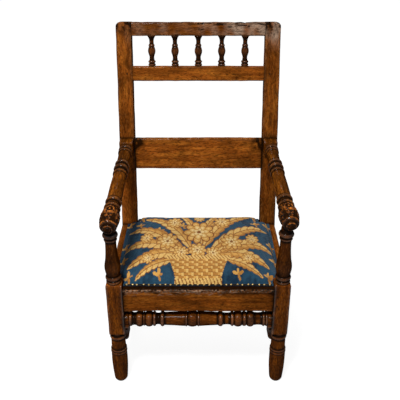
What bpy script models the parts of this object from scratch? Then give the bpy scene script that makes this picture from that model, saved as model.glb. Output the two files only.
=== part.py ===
"""Walnut armchair: joined and turned frame, spindle back, turned arms, nailed needlework seat.

Sizes are metres. The chair faces -Y and stands on Z = 0; left and right are the viewer's.
Places are worked out in the joiner's frame, where Y = 0 is the front face of the front legs.
The empty chair_frame carries everything, and at the end puts the middle of the box on the origin.
"""

import math

import bmesh
import bpy
from mathutils import Matrix, Vector

# Clearance round every tenon, hole and resting piece
FIT_GAP = 0.0003

# Front legs: turned foot, square block, turned arm support
FRONT_WIDTH = 0.570
LEG_SIDE = 0.048
FOOT_HEIGHT = 0.205
LEG_BLOCK_HEIGHT = 0.190
SUPPORT_HEIGHT = 0.187
SUPPORT_TENON_RADIUS = 0.010
SUPPORT_TENON_LENGTH = 0.028
SUPPORT_NECK_RADIUS = 0.0135
SUPPORT_NECK_LENGTH = 0.009
RIGHT_NECK_EXTRA = 0.009
LEG_EDGE_BEVEL = 0.002

# Back posts: straight rear leg with a raked foot, leaning back above the seat
SEAT_TAPER = 0.002
BACK_TAPER = 0.020
POST_WIDTH_AT_SEAT = 0.056
POST_WIDTH_AT_TOP = 0.051
POST_DEPTH = 0.044
POST_RISE = 0.718
POST_CORNER_RADIUS = 0.014
POST_EDGE_BEVEL = 0.0025
BACK_LEAN = math.radians(7.1)
REAR_RAKE = math.radians(4.5)
RAKE_TOP = 0.285

# Seat frame
SEAT_DEPTH = 0.422
SEAT_HEIGHT = 0.376
FRONT_RAIL_HEIGHT = 0.0800
FRONT_RAIL_THICKNESS = 0.042
FRONT_RAIL_SETBACK = 0.003
SIDE_RAIL_HEIGHT = 0.070
SIDE_RAIL_THICKNESS = 0.050
SIDE_RAIL_SETBACK = 0.0015
REAR_RAIL_HEIGHT = 0.065
REAR_RAIL_THICKNESS = 0.027
REAR_RAIL_SETBACK = 0.010
RAIL_EDGE_BEVEL = 0.003

# Back frame, measured up the posts from the top of the seat rails
BACK_RAIL_FOOT = 0.2135
BACK_RAIL_HEIGHT = 0.111
BACK_RAIL_THICKNESS = 0.022
BACK_RAIL_SETBACK = 0.002
SPINDLE_RAIL_FOOT = 0.525
SPINDLE_RAIL_HEIGHT = 0.049
CREST_HEIGHT = 0.0445
TOP_RAIL_THICKNESS = 0.028
TOP_RAIL_SETBACK = 0.001
SPINDLE_COUNT = 5
SPINDLE_SPACING = 0.0787
SPINDLE_TENON_RADIUS = 0.006
SPINDLE_TENON_LENGTH = 0.012

# Arms
ARM_HEIGHT_ON_POST = 0.303
ARM_RISE_OVER_SUPPORT = 0.0265
ARM_OVERHANG = 0.036
RIGHT_ARM_OUTSET = 0.006
ARM_BLOCK_SIDE = 0.043
ARM_BLOCK_LENGTH = 0.045
ARM_TENON_LENGTH = 0.024
ARM_TENON_THICKNESS = 0.010
ARM_BUTTON_RADIUS = 0.0092

# Stretchers
FRONT_STRETCHER_HEIGHT = 0.248
STRETCHER_BLOCK_SIDE = 0.044
STRETCHER_BLOCK_LENGTH = 0.0155
SIDE_STRETCHER_HEIGHT = 0.160
SIDE_STRETCHER_BLOCK_LENGTH = 0.055
SIDE_STRETCHER_END_RADIUS = 0.0105
SIDE_STRETCHER_INSERT = 0.016
REAR_STRETCHER_HEIGHT = 0.150
REAR_STRETCHER_DEPTH = 0.040
REAR_STRETCHER_THICKNESS = 0.022
REAR_STRETCHER_SETBACK = 0.010

# Mortise-and-tenon joints and the pegs that lock them
TENON_THICKNESS = 0.011
TENON_SHOULDER = 0.008
SHORT_TENON = 0.016
LONG_TENON = 0.036
TENON_ROOT = 0.006
PEG_RADIUS = 0.0038
PEG_LENGTH = 0.038
PEG_PROUD = 0.0006
PEG_SIDES = 8

# Seat: webbing, base cloth, stuffing, cover, nails
COVER_SIDE_SETBACK = 0.0215
COVER_FRONT_SETBACK = 0.026
COVER_CLEARANCE = 0.003
COVER_BACK_REACH = 0.035
COVER_THICKNESS = 0.002
COVER_CORNER = 0.008
PAD_SHARE = 0.940
PAD_EDGE = 0.007
PAD_CROWN = 0.021
WEBBING_WIDTH = 0.050
WEBBING_THICKNESS = 0.0015
WEBBING_SHARE = 0.920
WEBBING_LENGTHWISE = 4
WEBBING_CROSSWISE = 3
BASE_CLOTH_THICKNESS = 0.001
NAIL_COUNT = 27
NAIL_RADIUS = 0.0034
NAIL_CROWN = 0.0024
NAIL_BAND_WIDTH = 0.0065
NAIL_BAND_THICKNESS = 0.0012

# Facets of the turned pieces
LEG_STEPS = 12
ARM_STEPS = 12
SPINDLE_STEPS = 8
STRETCHER_STEPS = 12
SIDE_STRETCHER_STEPS = 8
NAIL_STEPS = 6
CORNER_POINTS = 4
TURNING_UNIT = 0.001
SEAT_EDGE_SPACING = 0.070
SHORT_ELEMENT = 0.013
LONG_ELEMENT = 0.022

LEFT, RIGHT = -1, 1
SIDE_NAMES = {LEFT: "left", RIGHT: "right"}

# Places that several pieces share
leg_axis_x = FRONT_WIDTH / 2 - LEG_SIDE / 2
leg_inner_x = FRONT_WIDTH / 2 - LEG_SIDE
leg_axis_y = LEG_SIDE / 2
block_top = FOOT_HEIGHT + LEG_BLOCK_HEIGHT
arm_front_x = {LEFT: -leg_axis_x, RIGHT: leg_axis_x + RIGHT_ARM_OUTSET}
support_tops = {LEFT: block_top + SUPPORT_HEIGHT, RIGHT: block_top + SUPPORT_HEIGHT + RIGHT_NECK_EXTRA}
crest_foot = POST_RISE - CREST_HEIGHT
spindle_foot = SPINDLE_RAIL_FOOT + SPINDLE_RAIL_HEIGHT
rail_front_x = FRONT_WIDTH / 2 - SIDE_RAIL_SETBACK
back_width = FRONT_WIDTH - SEAT_TAPER
rail_rear_x = back_width / 2 - SIDE_RAIL_SETBACK


def post_outer_x(rise):
    """Half the width over the posts, at a distance up them from the seat rails."""
    return (back_width - BACK_TAPER * max(rise, 0.0) / POST_RISE) / 2


def post_inner_x(rise):
    taper = (POST_WIDTH_AT_TOP - POST_WIDTH_AT_SEAT) * max(rise, 0.0) / POST_RISE
    return post_outer_x(rise) - POST_WIDTH_AT_SEAT - taper


def post_front_y(height):
    """Front face of a rear leg below the seat, which rakes back towards the floor."""
    return SEAT_DEPTH + max(RAKE_TOP - height, 0.0) * math.tan(REAR_RAKE)


# Scene, collections and finishes
for old_object in list(bpy.data.objects):
    bpy.data.objects.remove(old_object, do_unlink=True)

chair = bpy.data.collections.new("walnut_armchair")
shapers = bpy.data.collections.new("cutters_and_additions")
bpy.context.scene.collection.children.link(chair)
bpy.context.scene.collection.children.link(shapers)


def finish(name, colour, roughness, metallic=0.0):
    material = bpy.data.materials.new(name)
    material.use_nodes = True
    shader = material.node_tree.nodes["Principled BSDF"]
    shader.inputs["Base Color"].default_value = (*colour, 1.0)
    shader.inputs["Roughness"].default_value = roughness
    shader.inputs["Metallic"].default_value = metallic
    return material


WALNUT = finish("waxed_walnut", (0.16, 0.065, 0.022), 0.38)
DARK_WALNUT = finish("dark_turned_walnut", (0.10, 0.040, 0.014), 0.34)
PEG_WOOD = finish("peg_oak", (0.08, 0.035, 0.015), 0.55)
NEEDLEWORK = finish("wool_needlework", (0.03, 0.07, 0.13), 0.9)
HESSIAN = finish("hessian", (0.42, 0.32, 0.19), 0.95)
HORSEHAIR = finish("horsehair", (0.10, 0.08, 0.06), 0.95)
JUTE = finish("jute_webbing", (0.46, 0.36, 0.22), 0.95)
BRASS = finish("old_brass", (0.62, 0.47, 0.20), 0.35, 1.0)


def add_frame(name, parent=None, place=None):
    """An empty that carries pieces; its place is a matrix in its parent's coordinates."""
    frame = bpy.data.objects.new(name, None)
    chair.objects.link(frame)
    frame.parent = parent
    frame.matrix_local = place or Matrix.Identity(4)
    return frame


def add_piece(name, mesh, frame, material, place=None):
    piece = bpy.data.objects.new(name, mesh)
    chair.objects.link(piece)
    piece.data.materials.append(material)
    piece.parent = frame
    piece.matrix_local = place or Matrix.Identity(4)
    return piece


def add_shaper(piece, step, mesh, frame, place=None):
    """A hidden solid that the piece is cut by, or joined with, in one of the shaping steps."""
    group_name = f"{piece}_{step}"
    group = bpy.data.collections.get(group_name)
    if group is None:
        group = bpy.data.collections.new(group_name)
        shapers.children.link(group)
    shaper = bpy.data.objects.new(f"{group_name}_{len(group.objects) + 1}", mesh)
    group.objects.link(shaper)
    shaper.parent = frame
    shaper.matrix_local = place or Matrix.Identity(4)
    shaper.hide_render = True
    shaper.display_type = "WIRE"
    return shaper


def add_joined(piece, mesh, frame, place=None):
    return add_shaper(piece, "joined", mesh, frame, place)


def add_cut(piece, mesh, frame, place=None):
    return add_shaper(piece, "cut", mesh, frame, place)


SHAPING_STEPS = {
    "trimmed": "DIFFERENCE",
    "joined": "UNION",
    "cut": "DIFFERENCE",
}


def shape_all_pieces():
    """Trims, joins and cuts each piece with the solids that were collected for it."""
    for piece in [obj for obj in chair.objects if obj.type == "MESH"]:
        for step, operation in SHAPING_STEPS.items():
            group = bpy.data.collections.get(f"{piece.name}_{step}")
            if group:
                boolean = piece.modifiers.new(step, "BOOLEAN")
                boolean.operation = operation
                boolean.operand_type = "COLLECTION"
                boolean.collection = group
                boolean.solver = "EXACT"


def mesh_from(bm, name):
    mesh = bpy.data.meshes.new(name)
    bmesh.ops.recalc_face_normals(bm, faces=bm.faces)
    bm.to_mesh(mesh)
    bm.free()
    return mesh


def box_mesh(low, high, name="box"):
    low, high = Vector(low), Vector(high)
    bm = bmesh.new()
    bmesh.ops.create_cube(bm, size=1.0)
    for vertex in bm.verts:
        vertex.co = Vector((low + high) / 2 + (high - low) * vertex.co)
    return mesh_from(bm, name)


def loft_mesh(sections, name):
    """A closed solid through sections that have the same number of corners."""
    bm = bmesh.new()
    rings = [[bm.verts.new(corner) for corner in section] for section in sections]
    for lower, upper in zip(rings, rings[1:]):
        count = len(lower)
        for i in range(count):
            bm.faces.new((lower[i], lower[(i + 1) % count], upper[(i + 1) % count], upper[i]))
    bm.faces.new(rings[0])
    bm.faces.new(rings[-1])
    return mesh_from(bm, name)


def rod_mesh(radius, length, sides, name="rod"):
    """A rod from the origin along +Z."""
    bm = bmesh.new()
    place = Matrix.Translation((0.0, 0.0, length / 2))
    bmesh.ops.create_cone(
        bm, cap_ends=True, segments=sides, radius1=radius, radius2=radius, depth=length, matrix=place
    )
    return mesh_from(bm, name)


def pointing(start, direction):
    """A matrix that puts +Z along the direction, from the start."""
    turn = Vector((0.0, 0.0, 1.0)).rotation_difference(Vector(direction))
    return Matrix.Translation(start) @ turn.to_matrix().to_4x4()


def bevel_edges(piece, width, segments=1):
    bevel = piece.modifiers.new("worn_edges", "BEVEL")
    bevel.width = width
    bevel.segments = segments
    bevel.limit_method = "ANGLE"
    bevel.angle_limit = math.radians(40.0)


# Turned outlines: each element is (length, first radius, middle radius, last radius).
# The turner's patterns are written in TURNING_UNIT; a cone takes sizes that other pieces share.
def cone(length, first, last):
    return (length, first, (first + last) / 2, last)


def swell(length, first, middle, last):
    radii = [TURNING_UNIT * radius for radius in (first, middle, last)]
    return (None if length is None else TURNING_UNIT * length, *radii)


def ring(length, radius, foot=3.5):
    return swell(length, radius - foot, radius, radius - foot)


def hollow(length, radius, rim=1.5):
    return swell(length, radius + rim, radius, radius + rim)


def bulb(length, radius, foot=5.5):
    return swell(length, radius - foot, radius, radius - foot)


def taper(length, first, last):
    return swell(length, first, (first + last) / 2, last)


def turned_outline(elements, total):
    """Points (distance, radius) along a turning. Elements of length None share what is left."""
    fixed = sum(element[0] for element in elements if element[0] is not None)
    open_count = sum(element[0] is None for element in elements)
    shared = (total - fixed) / max(open_count, 1)
    points = []
    start = 0.0
    for length, first, middle, last in elements:
        length = shared if length is None else length
        swell = middle - (first + last) / 2
        steps = 1
        if abs(swell) > 1e-6:
            steps = 2 + (length > SHORT_ELEMENT) + (length > LONG_ELEMENT)
        for i in range(steps + 1):
            share = i / steps
            radius = first + (last - first) * share + swell * math.sin(math.pi * share)
            point = (start + length * share, radius)
            if not points or math.dist(point, points[-1]) > 1e-5:
                points.append(point)
        start += length
    return points


def turn(piece, steps):
    screw = piece.modifiers.new("turned", "SCREW")
    screw.axis = "Z"
    screw.steps = steps
    screw.render_steps = steps
    screw.use_merge_vertices = True
    screw.merge_threshold = 0.00001
    screw.use_smooth_shade = True
    return piece


def outline_mesh(points, name):
    """A profile that starts at the origin and runs down -Z, closed on its axis at both ends."""
    closed = [(points[0][0], 0.0), *points, (points[-1][0], 0.0)]
    mesh = bpy.data.meshes.new(name)
    corners = [(radius, 0.0, -distance) for distance, radius in closed]
    mesh.from_pydata(corners, [(i, i + 1) for i in range(len(corners) - 1)], [])
    return mesh


def turned_mesh(points, steps, name):
    """The turned solid as a plain mesh, for shapers and for pieces that share it."""
    lathe = turn(bpy.data.objects.new(f"{name}_lathe", outline_mesh(points, name)), steps)
    bpy.context.scene.collection.objects.link(lathe)
    bpy.context.view_layer.update()
    solid = bpy.data.meshes.new_from_object(lathe.evaluated_get(bpy.context.evaluated_depsgraph_get()))
    bpy.data.objects.remove(lathe, do_unlink=True)
    solid.shade_smooth()
    solid.set_sharp_from_angle(angle=math.radians(35.0))
    return solid


def tenon(rail, post, frame, low, high, axis, outward):
    """A tenon that fills the box and grows from the rail; the post gets a mortise round it.

    The tenon points along the axis (0 X, 1 Y, 2 Z), outward being its sign.
    """
    low, high = list(low), list(high)
    root = (list(low), list(high))
    root[0 if outward > 0 else 1][axis] -= outward * TENON_ROOT
    add_joined(rail, box_mesh(*root), frame)
    pocket_low = [value - FIT_GAP for value in low]
    pocket_high = [value + FIT_GAP for value in high]
    mouth = pocket_low if outward > 0 else pocket_high
    mouth[axis] -= outward * TENON_ROOT
    add_cut(post, box_mesh(pocket_low, pocket_high), frame)


def peg(name, frame, start, direction, pieces, length=PEG_LENGTH):
    """A riven peg driven in from the surface point start, with its hole in each piece."""
    direction = Vector(direction)
    head = Vector(start) - direction * PEG_PROUD
    mesh = rod_mesh(PEG_RADIUS, length, PEG_SIDES, name)
    add_piece(name, mesh, frame, PEG_WOOD, pointing(head, direction))
    hole = rod_mesh(PEG_RADIUS + FIT_GAP, length + PEG_RADIUS + FIT_GAP, PEG_SIDES)
    hole_place = pointing(head - direction * PEG_RADIUS, direction)
    for piece in pieces:
        add_cut(piece, hole.copy(), frame, hole_place)


# Frames
back_place = Matrix.Translation((0.0, SEAT_DEPTH, SEAT_HEIGHT)) @ Matrix.Rotation(-BACK_LEAN, 4, "X")
arm_places = {}
arm_reaches = {}
for side in (LEFT, RIGHT):
    on_post = (post_outer_x(ARM_HEIGHT_ON_POST) + post_inner_x(ARM_HEIGHT_ON_POST)) / 2
    rear = back_place @ Vector((side * on_post, 0.0, ARM_HEIGHT_ON_POST))
    front = Vector((arm_front_x[side], leg_axis_y, support_tops[side] + ARM_RISE_OVER_SUPPORT))
    along = (rear - front).normalized()
    across = along.cross(Vector((0.0, 0.0, 1.0))).normalized()
    turn_to = Matrix((across, along.cross(across), along)).transposed().to_4x4()
    arm_places[side] = Matrix.Translation(rear) @ turn_to
    arm_reaches[side] = (rear - front).length + ARM_OVERHANG

chair_frame = add_frame("chair_frame")
back_frame = add_frame("back_frame", chair_frame, back_place)
arm_frames = {}
for side, side_name in SIDE_NAMES.items():
    arm_frames[side] = add_frame(f"arm_frame_{side_name}", chair_frame, arm_places[side])


# Back posts
def post_section(side, outer, inner, front_point, rear_point):
    """Four corners of a post, from the front and rear points of its section in the YZ plane."""
    return [
        (side * outer, *front_point),
        (side * inner, *front_point),
        (side * inner, *rear_point),
        (side * outer, *rear_point),
    ]


def upper_section(side, rise, corner_cut=0.0):
    front_point = back_place @ Vector((0.0, 0.0, rise))
    rear_point = back_place @ Vector((0.0, POST_DEPTH, rise))
    outer = post_outer_x(rise) - corner_cut
    return post_section(side, outer, post_inner_x(rise), front_point.yz, rear_point.yz)


def lower_section(side, height):
    front_y = post_front_y(height)
    corners = ((front_y, height), (front_y + POST_DEPTH, height))
    return post_section(side, post_outer_x(0.0), post_inner_x(0.0), *corners)


for side, side_name in SIDE_NAMES.items():
    sections = [lower_section(side, 0.0), lower_section(side, RAKE_TOP), upper_section(side, 0.0)]
    for i in range(CORNER_POINTS):
        angle = math.radians(90.0) * i / (CORNER_POINTS - 1)
        drop = POST_CORNER_RADIUS * (1.0 - math.sin(angle))
        inset = POST_CORNER_RADIUS * (1.0 - math.cos(angle))
        sections.append(upper_section(side, POST_RISE - drop, inset))
    post_name = f"back_post_{side_name}"
    post = add_piece(post_name, loft_mesh(sections, post_name), chair_frame, WALNUT)
    bevel_edges(post, POST_EDGE_BEVEL)


# Rails of the back, with ends cut to the taper of the posts
def back_rail(name, foot, height, thickness, setback, tenon_length):
    """A rail between the posts in the plane of the back, tenoned into both."""
    top = foot + height
    sections = []
    for rise in (foot, top):
        half = post_inner_x(rise) - FIT_GAP
        corners = ((-half, 0.0), (half, 0.0), (half, thickness), (-half, thickness))
        sections.append([(x, setback + y, rise) for x, y in corners])
    rail = add_piece(name, loft_mesh(sections, name), back_frame, WALNUT)
    bevel_edges(rail, RAIL_EDGE_BEVEL)
    mid_y = setback + thickness / 2
    for side, side_name in SIDE_NAMES.items():
        tongues = []
        for gap in (0.0, FIT_GAP):
            half = TENON_THICKNESS / 2 + gap
            sections = []
            for rise in (foot + TENON_SHOULDER - gap, top - TENON_SHOULDER + gap):
                root = post_inner_x(rise) - TENON_ROOT - gap
                tip = post_inner_x(rise) + tenon_length + gap
                corners = ((root, -half), (tip, -half), (tip, half), (root, half))
                sections.append([(side * x, mid_y + y, rise) for x, y in corners])
            tongues.append(loft_mesh(sections, f"{name}_tongue"))
        add_joined(name, tongues[0], back_frame)
        add_cut(f"back_post_{side_name}", tongues[1], back_frame)


def back_peg(name, rail, side, rise, tenon_length, from_rear=False):
    """A peg through a post and the tenon of one of the back's rails."""
    x = side * (post_inner_x(rise) + tenon_length / 2)
    start = (x, POST_DEPTH if from_rear else 0.0, rise)
    direction = (0.0, -1.0 if from_rear else 1.0, 0.0)
    peg(name, back_frame, start, direction, (f"back_post_{SIDE_NAMES[side]}", rail))


back_rail("crest_rail", crest_foot, CREST_HEIGHT, TOP_RAIL_THICKNESS, TOP_RAIL_SETBACK, LONG_TENON)
back_rail(
    "spindle_rail", SPINDLE_RAIL_FOOT, SPINDLE_RAIL_HEIGHT, TOP_RAIL_THICKNESS, TOP_RAIL_SETBACK, LONG_TENON
)
back_rail(
    "back_rail", BACK_RAIL_FOOT, BACK_RAIL_HEIGHT, BACK_RAIL_THICKNESS, BACK_RAIL_SETBACK, SHORT_TENON
)
for side, side_name in SIDE_NAMES.items():
    back_peg(f"peg_crest_{side_name}", "crest_rail", side, crest_foot + CREST_HEIGHT / 2, LONG_TENON)
    spindle_rail_mid = SPINDLE_RAIL_FOOT + SPINDLE_RAIL_HEIGHT / 2
    back_peg(f"peg_spindle_rail_{side_name}", "spindle_rail", side, spindle_rail_mid, LONG_TENON)
    for place, share in (("low", 0.28), ("high", 0.72)):
        rise = BACK_RAIL_FOOT + BACK_RAIL_HEIGHT * share
        back_peg(f"peg_back_rail_{place}_{side_name}", "back_rail", side, rise, SHORT_TENON, from_rear=True)

# Spindles
spindle_elements = [
    cone(SPINDLE_TENON_LENGTH, SPINDLE_TENON_RADIUS, SPINDLE_TENON_RADIUS),
    swell(16, 13.5, 9, 7.4),
    taper(9, 7.4, 7.4),
    swell(8, 7.4, 9.6, 9.8),
    hollow(3, 8.8, 0.8),
    swell(None, 9.8, 13, 8.4),
    taper(5, 7.3, 7.3),
    taper(13, 7.3, 11.2),
    ring(8, 12.4, 1.8),
    taper(8, 11.8, 12.2),
    cone(SPINDLE_TENON_LENGTH, SPINDLE_TENON_RADIUS, SPINDLE_TENON_RADIUS),
]
spindle_gap = crest_foot - spindle_foot - 2 * FIT_GAP
spindle_points = turned_outline(spindle_elements, spindle_gap + 2 * SPINDLE_TENON_LENGTH)
spindle_y = TOP_RAIL_SETBACK + TOP_RAIL_THICKNESS / 2
spindle_top = crest_foot - FIT_GAP + SPINDLE_TENON_LENGTH
spindle_hole = SPINDLE_TENON_LENGTH + FIT_GAP
for i in range(SPINDLE_COUNT):
    x = (i - (SPINDLE_COUNT - 1) / 2) * SPINDLE_SPACING
    name = f"spindle_{i + 1}"
    place = Matrix.Translation((x, spindle_y, spindle_top))
    turn(add_piece(name, outline_mesh(spindle_points, name), back_frame, DARK_WALNUT, place), SPINDLE_STEPS)
    hole_feet = {"crest_rail": crest_foot - FIT_GAP, "spindle_rail": spindle_foot - spindle_hole}
    for rail, hole_foot in hole_feet.items():
        hole = rod_mesh(SPINDLE_TENON_RADIUS + FIT_GAP, spindle_hole + FIT_GAP, SPINDLE_STEPS)
        add_cut(rail, hole, back_frame, Matrix.Translation((x, spindle_y, hole_foot)))

# Front legs
foot_elements = [
    cone(LEG_SIDE / 4, LEG_SIDE * 0.42, LEG_SIDE * 0.48),
    swell(12, 23.2, 21.2, 22.2),
    ring(12, 24.8, 2.2),
    taper(41, 22.2, 22.2),
    ring(9, 25, 2.2),
    ring(11, 25.4, 2),
    swell(None, 24.6, 24, 20.8),
    swell(14, 20.8, 18.8, 13),
]
support_elements = [
    cone(SUPPORT_TENON_LENGTH, SUPPORT_TENON_RADIUS, SUPPORT_TENON_RADIUS),
    cone(SUPPORT_NECK_LENGTH, SUPPORT_NECK_RADIUS, SUPPORT_NECK_RADIUS),
    ring(5, 18.6, 1.6),
    ring(11, 24.6, 4.2),
    taper(12, 20.2, 16),
    ring(7, 18, 1.6),
    swell(None, 15.5, 15.4, 17.6),
    swell(48, 17.6, 24.8, 19.6),
    ring(14, 24, 3.6),
    hollow(4, 19.2, 0.6),
    ring(9, 22.6, 1.4),
    cone(LEG_SIDE / 4, LEG_SIDE * 0.42, LEG_SIDE * 0.42),
]
foot_mesh = turned_mesh(turned_outline(foot_elements, LEG_SIDE / 4 + FOOT_HEIGHT), LEG_STEPS, "foot")
support_length = SUPPORT_TENON_LENGTH + SUPPORT_HEIGHT + LEG_SIDE / 4
support_points = turned_outline(support_elements, support_length)
neck_end = SUPPORT_TENON_LENGTH + SUPPORT_NECK_LENGTH / 2
for side, side_name in SIDE_NAMES.items():
    leg_name = f"front_leg_{side_name}"
    axis_x = side * leg_axis_x
    low = (axis_x - LEG_SIDE / 2, 0.0, FOOT_HEIGHT)
    high = (axis_x + LEG_SIDE / 2, LEG_SIDE, block_top)
    leg = add_piece(leg_name, box_mesh(low, high, leg_name), chair_frame, WALNUT)
    bevel_edges(leg, LEG_EDGE_BEVEL)
    foot_top = Matrix.Translation((axis_x, leg_axis_y, FOOT_HEIGHT + LEG_SIDE / 4))
    add_joined(leg_name, foot_mesh, chair_frame, foot_top)
    extra = support_tops[side] - support_tops[LEFT]
    points = [(at + extra * (at > neck_end), radius) for at, radius in support_points]
    support_mesh = turned_mesh(points, LEG_STEPS, "arm_support")
    tenon_top = Matrix.Translation((axis_x, leg_axis_y, support_tops[side] + SUPPORT_TENON_LENGTH))
    add_joined(leg_name, support_mesh, chair_frame, tenon_top)


# Seat rails
def seat_rail(name, low, high):
    rail = add_piece(name, box_mesh(low, high, name), chair_frame, WALNUT)
    bevel_edges(rail, RAIL_EDGE_BEVEL)


def cross_rail(name, half, y_span, z_span, posts, tenon_length):
    """A rail that runs along X between two posts or legs, with a tenon at each end."""
    seat_rail(name, (-half + FIT_GAP, y_span[0], z_span[0]), (half - FIT_GAP, y_span[1], z_span[1]))
    mid_y = (y_span[0] + y_span[1]) / 2
    for side, side_name in SIDE_NAMES.items():
        ends = sorted((side * half, side * (half + tenon_length)))
        low = (ends[0], mid_y - TENON_THICKNESS / 2, z_span[0] + TENON_SHOULDER)
        high = (ends[1], mid_y + TENON_THICKNESS / 2, z_span[1] - TENON_SHOULDER)
        tenon(name, f"{posts}_{side_name}", chair_frame, low, high, 0, side)


front_rail_y = (FRONT_RAIL_SETBACK, FRONT_RAIL_SETBACK + FRONT_RAIL_THICKNESS)
front_rail_z = (SEAT_HEIGHT - FRONT_RAIL_HEIGHT, SEAT_HEIGHT)
cross_rail("seat_rail_front", leg_inner_x, front_rail_y, front_rail_z, "front_leg", SHORT_TENON)

rear_rail_y = (SEAT_DEPTH + REAR_RAIL_SETBACK, SEAT_DEPTH + REAR_RAIL_SETBACK + REAR_RAIL_THICKNESS)
rear_rail_z = (SEAT_HEIGHT - REAR_RAIL_HEIGHT, SEAT_HEIGHT)
cross_rail("seat_rail_back", post_inner_x(0.0), rear_rail_y, rear_rail_z, "back_post", SHORT_TENON)

side_rail_z = (SEAT_HEIGHT - SIDE_RAIL_HEIGHT, SEAT_HEIGHT)
side_rail_mid_z = (side_rail_z[0] + side_rail_z[1]) / 2
for side, side_name in SIDE_NAMES.items():
    rail_name = f"seat_rail_{side_name}"
    sections = []
    for outer, y in ((rail_front_x, LEG_SIDE + FIT_GAP), (rail_rear_x, SEAT_DEPTH - FIT_GAP)):
        inner = outer - SIDE_RAIL_THICKNESS
        corners = ((outer, 0), (inner, 0), (inner, 1), (outer, 1))
        sections.append([(side * x, y, side_rail_z[end]) for x, end in corners])
    bevel_edges(add_piece(rail_name, loft_mesh(sections, rail_name), chair_frame, WALNUT), RAIL_EDGE_BEVEL)
    ends = (("front_leg", rail_front_x, LEG_SIDE, -1), ("back_post", rail_rear_x, SEAT_DEPTH, 1))
    for post_name, rail_x, face_y, outward in ends:
        middle = side * (rail_x - SIDE_RAIL_THICKNESS / 2)
        reach = sorted((face_y, face_y + outward * SHORT_TENON))
        low = (middle - TENON_THICKNESS / 2, reach[0], side_rail_z[0] + TENON_SHOULDER)
        high = (middle + TENON_THICKNESS / 2, reach[1], side_rail_z[1] - TENON_SHOULDER)
        tenon(rail_name, f"{post_name}_{side_name}", chair_frame, low, high, 1, outward)
        outer = FRONT_WIDTH / 2 if post_name == "front_leg" else post_outer_x(0.0)
        start = (side * outer, face_y + outward * SHORT_TENON / 2, side_rail_mid_z)
        pieces = (f"{post_name}_{side_name}", rail_name)
        peg(f"peg_side_rail_{post_name}_{side_name}", chair_frame, start, (-side, 0.0, 0.0), pieces)

    front_pieces = (f"front_leg_{side_name}", "seat_rail_front")
    for place, share in (("low", 0.28), ("high", 0.72)):
        height = front_rail_z[0] + FRONT_RAIL_HEIGHT * share
        start = (side * (leg_inner_x + SHORT_TENON / 2), 0.0, height)
        peg(f"peg_front_rail_{place}_{side_name}", chair_frame, start, (0.0, 1.0, 0.0), front_pieces)

    rear_x = side * (post_inner_x(0.0) + SHORT_TENON / 2)
    start = (rear_x, SEAT_DEPTH + POST_DEPTH, (rear_rail_z[0] + rear_rail_z[1]) / 2)
    pieces = (f"back_post_{side_name}", "seat_rail_back")
    peg(f"peg_rear_rail_{side_name}", chair_frame, start, (0.0, -1.0, 0.0), pieces)

# Front stretcher: square end blocks, turned between, as the turner left it a little uneven
stretcher_elements = [
    cone(STRETCHER_BLOCK_LENGTH / 2, STRETCHER_BLOCK_SIDE * 0.41, STRETCHER_BLOCK_SIDE * 0.43),
    ring(11, 22.8),
    hollow(12, 16.8),
    bulb(23, 23.4),
    ring(6, 20.4, 1.4),
    bulb(25, 23.4),
    ring(9, 21.8, 2.2),
    hollow(15, 16),
    ring(12, 22.4),
    swell(66, 18.8, 20.2, 22),
    ring(8, 23, 2.6),
    bulb(31, 23.8, 4.6),
    ring(8, 23, 2.6),
    swell(None, 22, 20.2, 18.8),
    ring(15, 22.4),
    hollow(25, 16),
    ring(10, 22.2),
    bulb(27, 23.4),
    ring(13, 21.8),
    bulb(24, 23.4),
    hollow(26, 16.2),
    ring(9, 22.6),
    ring(9, 22.6),
    cone(STRETCHER_BLOCK_LENGTH / 2, STRETCHER_BLOCK_SIDE * 0.43, STRETCHER_BLOCK_SIDE * 0.41),
]
turned_half = leg_inner_x - FIT_GAP - STRETCHER_BLOCK_LENGTH / 2
stretcher_points = turned_outline(stretcher_elements, 2 * turned_half)
stretcher_start = (-turned_half, leg_axis_y, FRONT_STRETCHER_HEIGHT)
stretcher_place = pointing(stretcher_start, (-1.0, 0.0, 0.0))
stretcher_mesh = turned_mesh(stretcher_points, STRETCHER_STEPS, "stretcher_front")
add_piece("stretcher_front", stretcher_mesh, chair_frame, DARK_WALNUT, stretcher_place)
for side, side_name in SIDE_NAMES.items():
    half_block = STRETCHER_BLOCK_SIDE / 2
    shoulder = leg_inner_x - FIT_GAP
    ends = sorted((side * shoulder, side * (shoulder - STRETCHER_BLOCK_LENGTH)))
    low = (ends[0], leg_axis_y - half_block, FRONT_STRETCHER_HEIGHT - half_block)
    high = (ends[1], leg_axis_y + half_block, FRONT_STRETCHER_HEIGHT + half_block)
    add_joined("stretcher_front", box_mesh(low, high), chair_frame)
    ends = sorted((side * leg_inner_x, side * (leg_inner_x + SHORT_TENON)))
    tenon_half = half_block - TENON_SHOULDER
    low = (ends[0], leg_axis_y - TENON_THICKNESS / 2, FRONT_STRETCHER_HEIGHT - tenon_half)
    high = (ends[1], leg_axis_y + TENON_THICKNESS / 2, FRONT_STRETCHER_HEIGHT + tenon_half)
    leg_name = f"front_leg_{side_name}"
    tenon("stretcher_front", leg_name, chair_frame, low, high, 0, side)
    start = (side * (leg_inner_x + SHORT_TENON / 2), 0.0, FRONT_STRETCHER_HEIGHT)
    peg(f"peg_stretcher_{side_name}", chair_frame, start, (0.0, 1.0, 0.0), (leg_name, "stretcher_front"))

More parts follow.
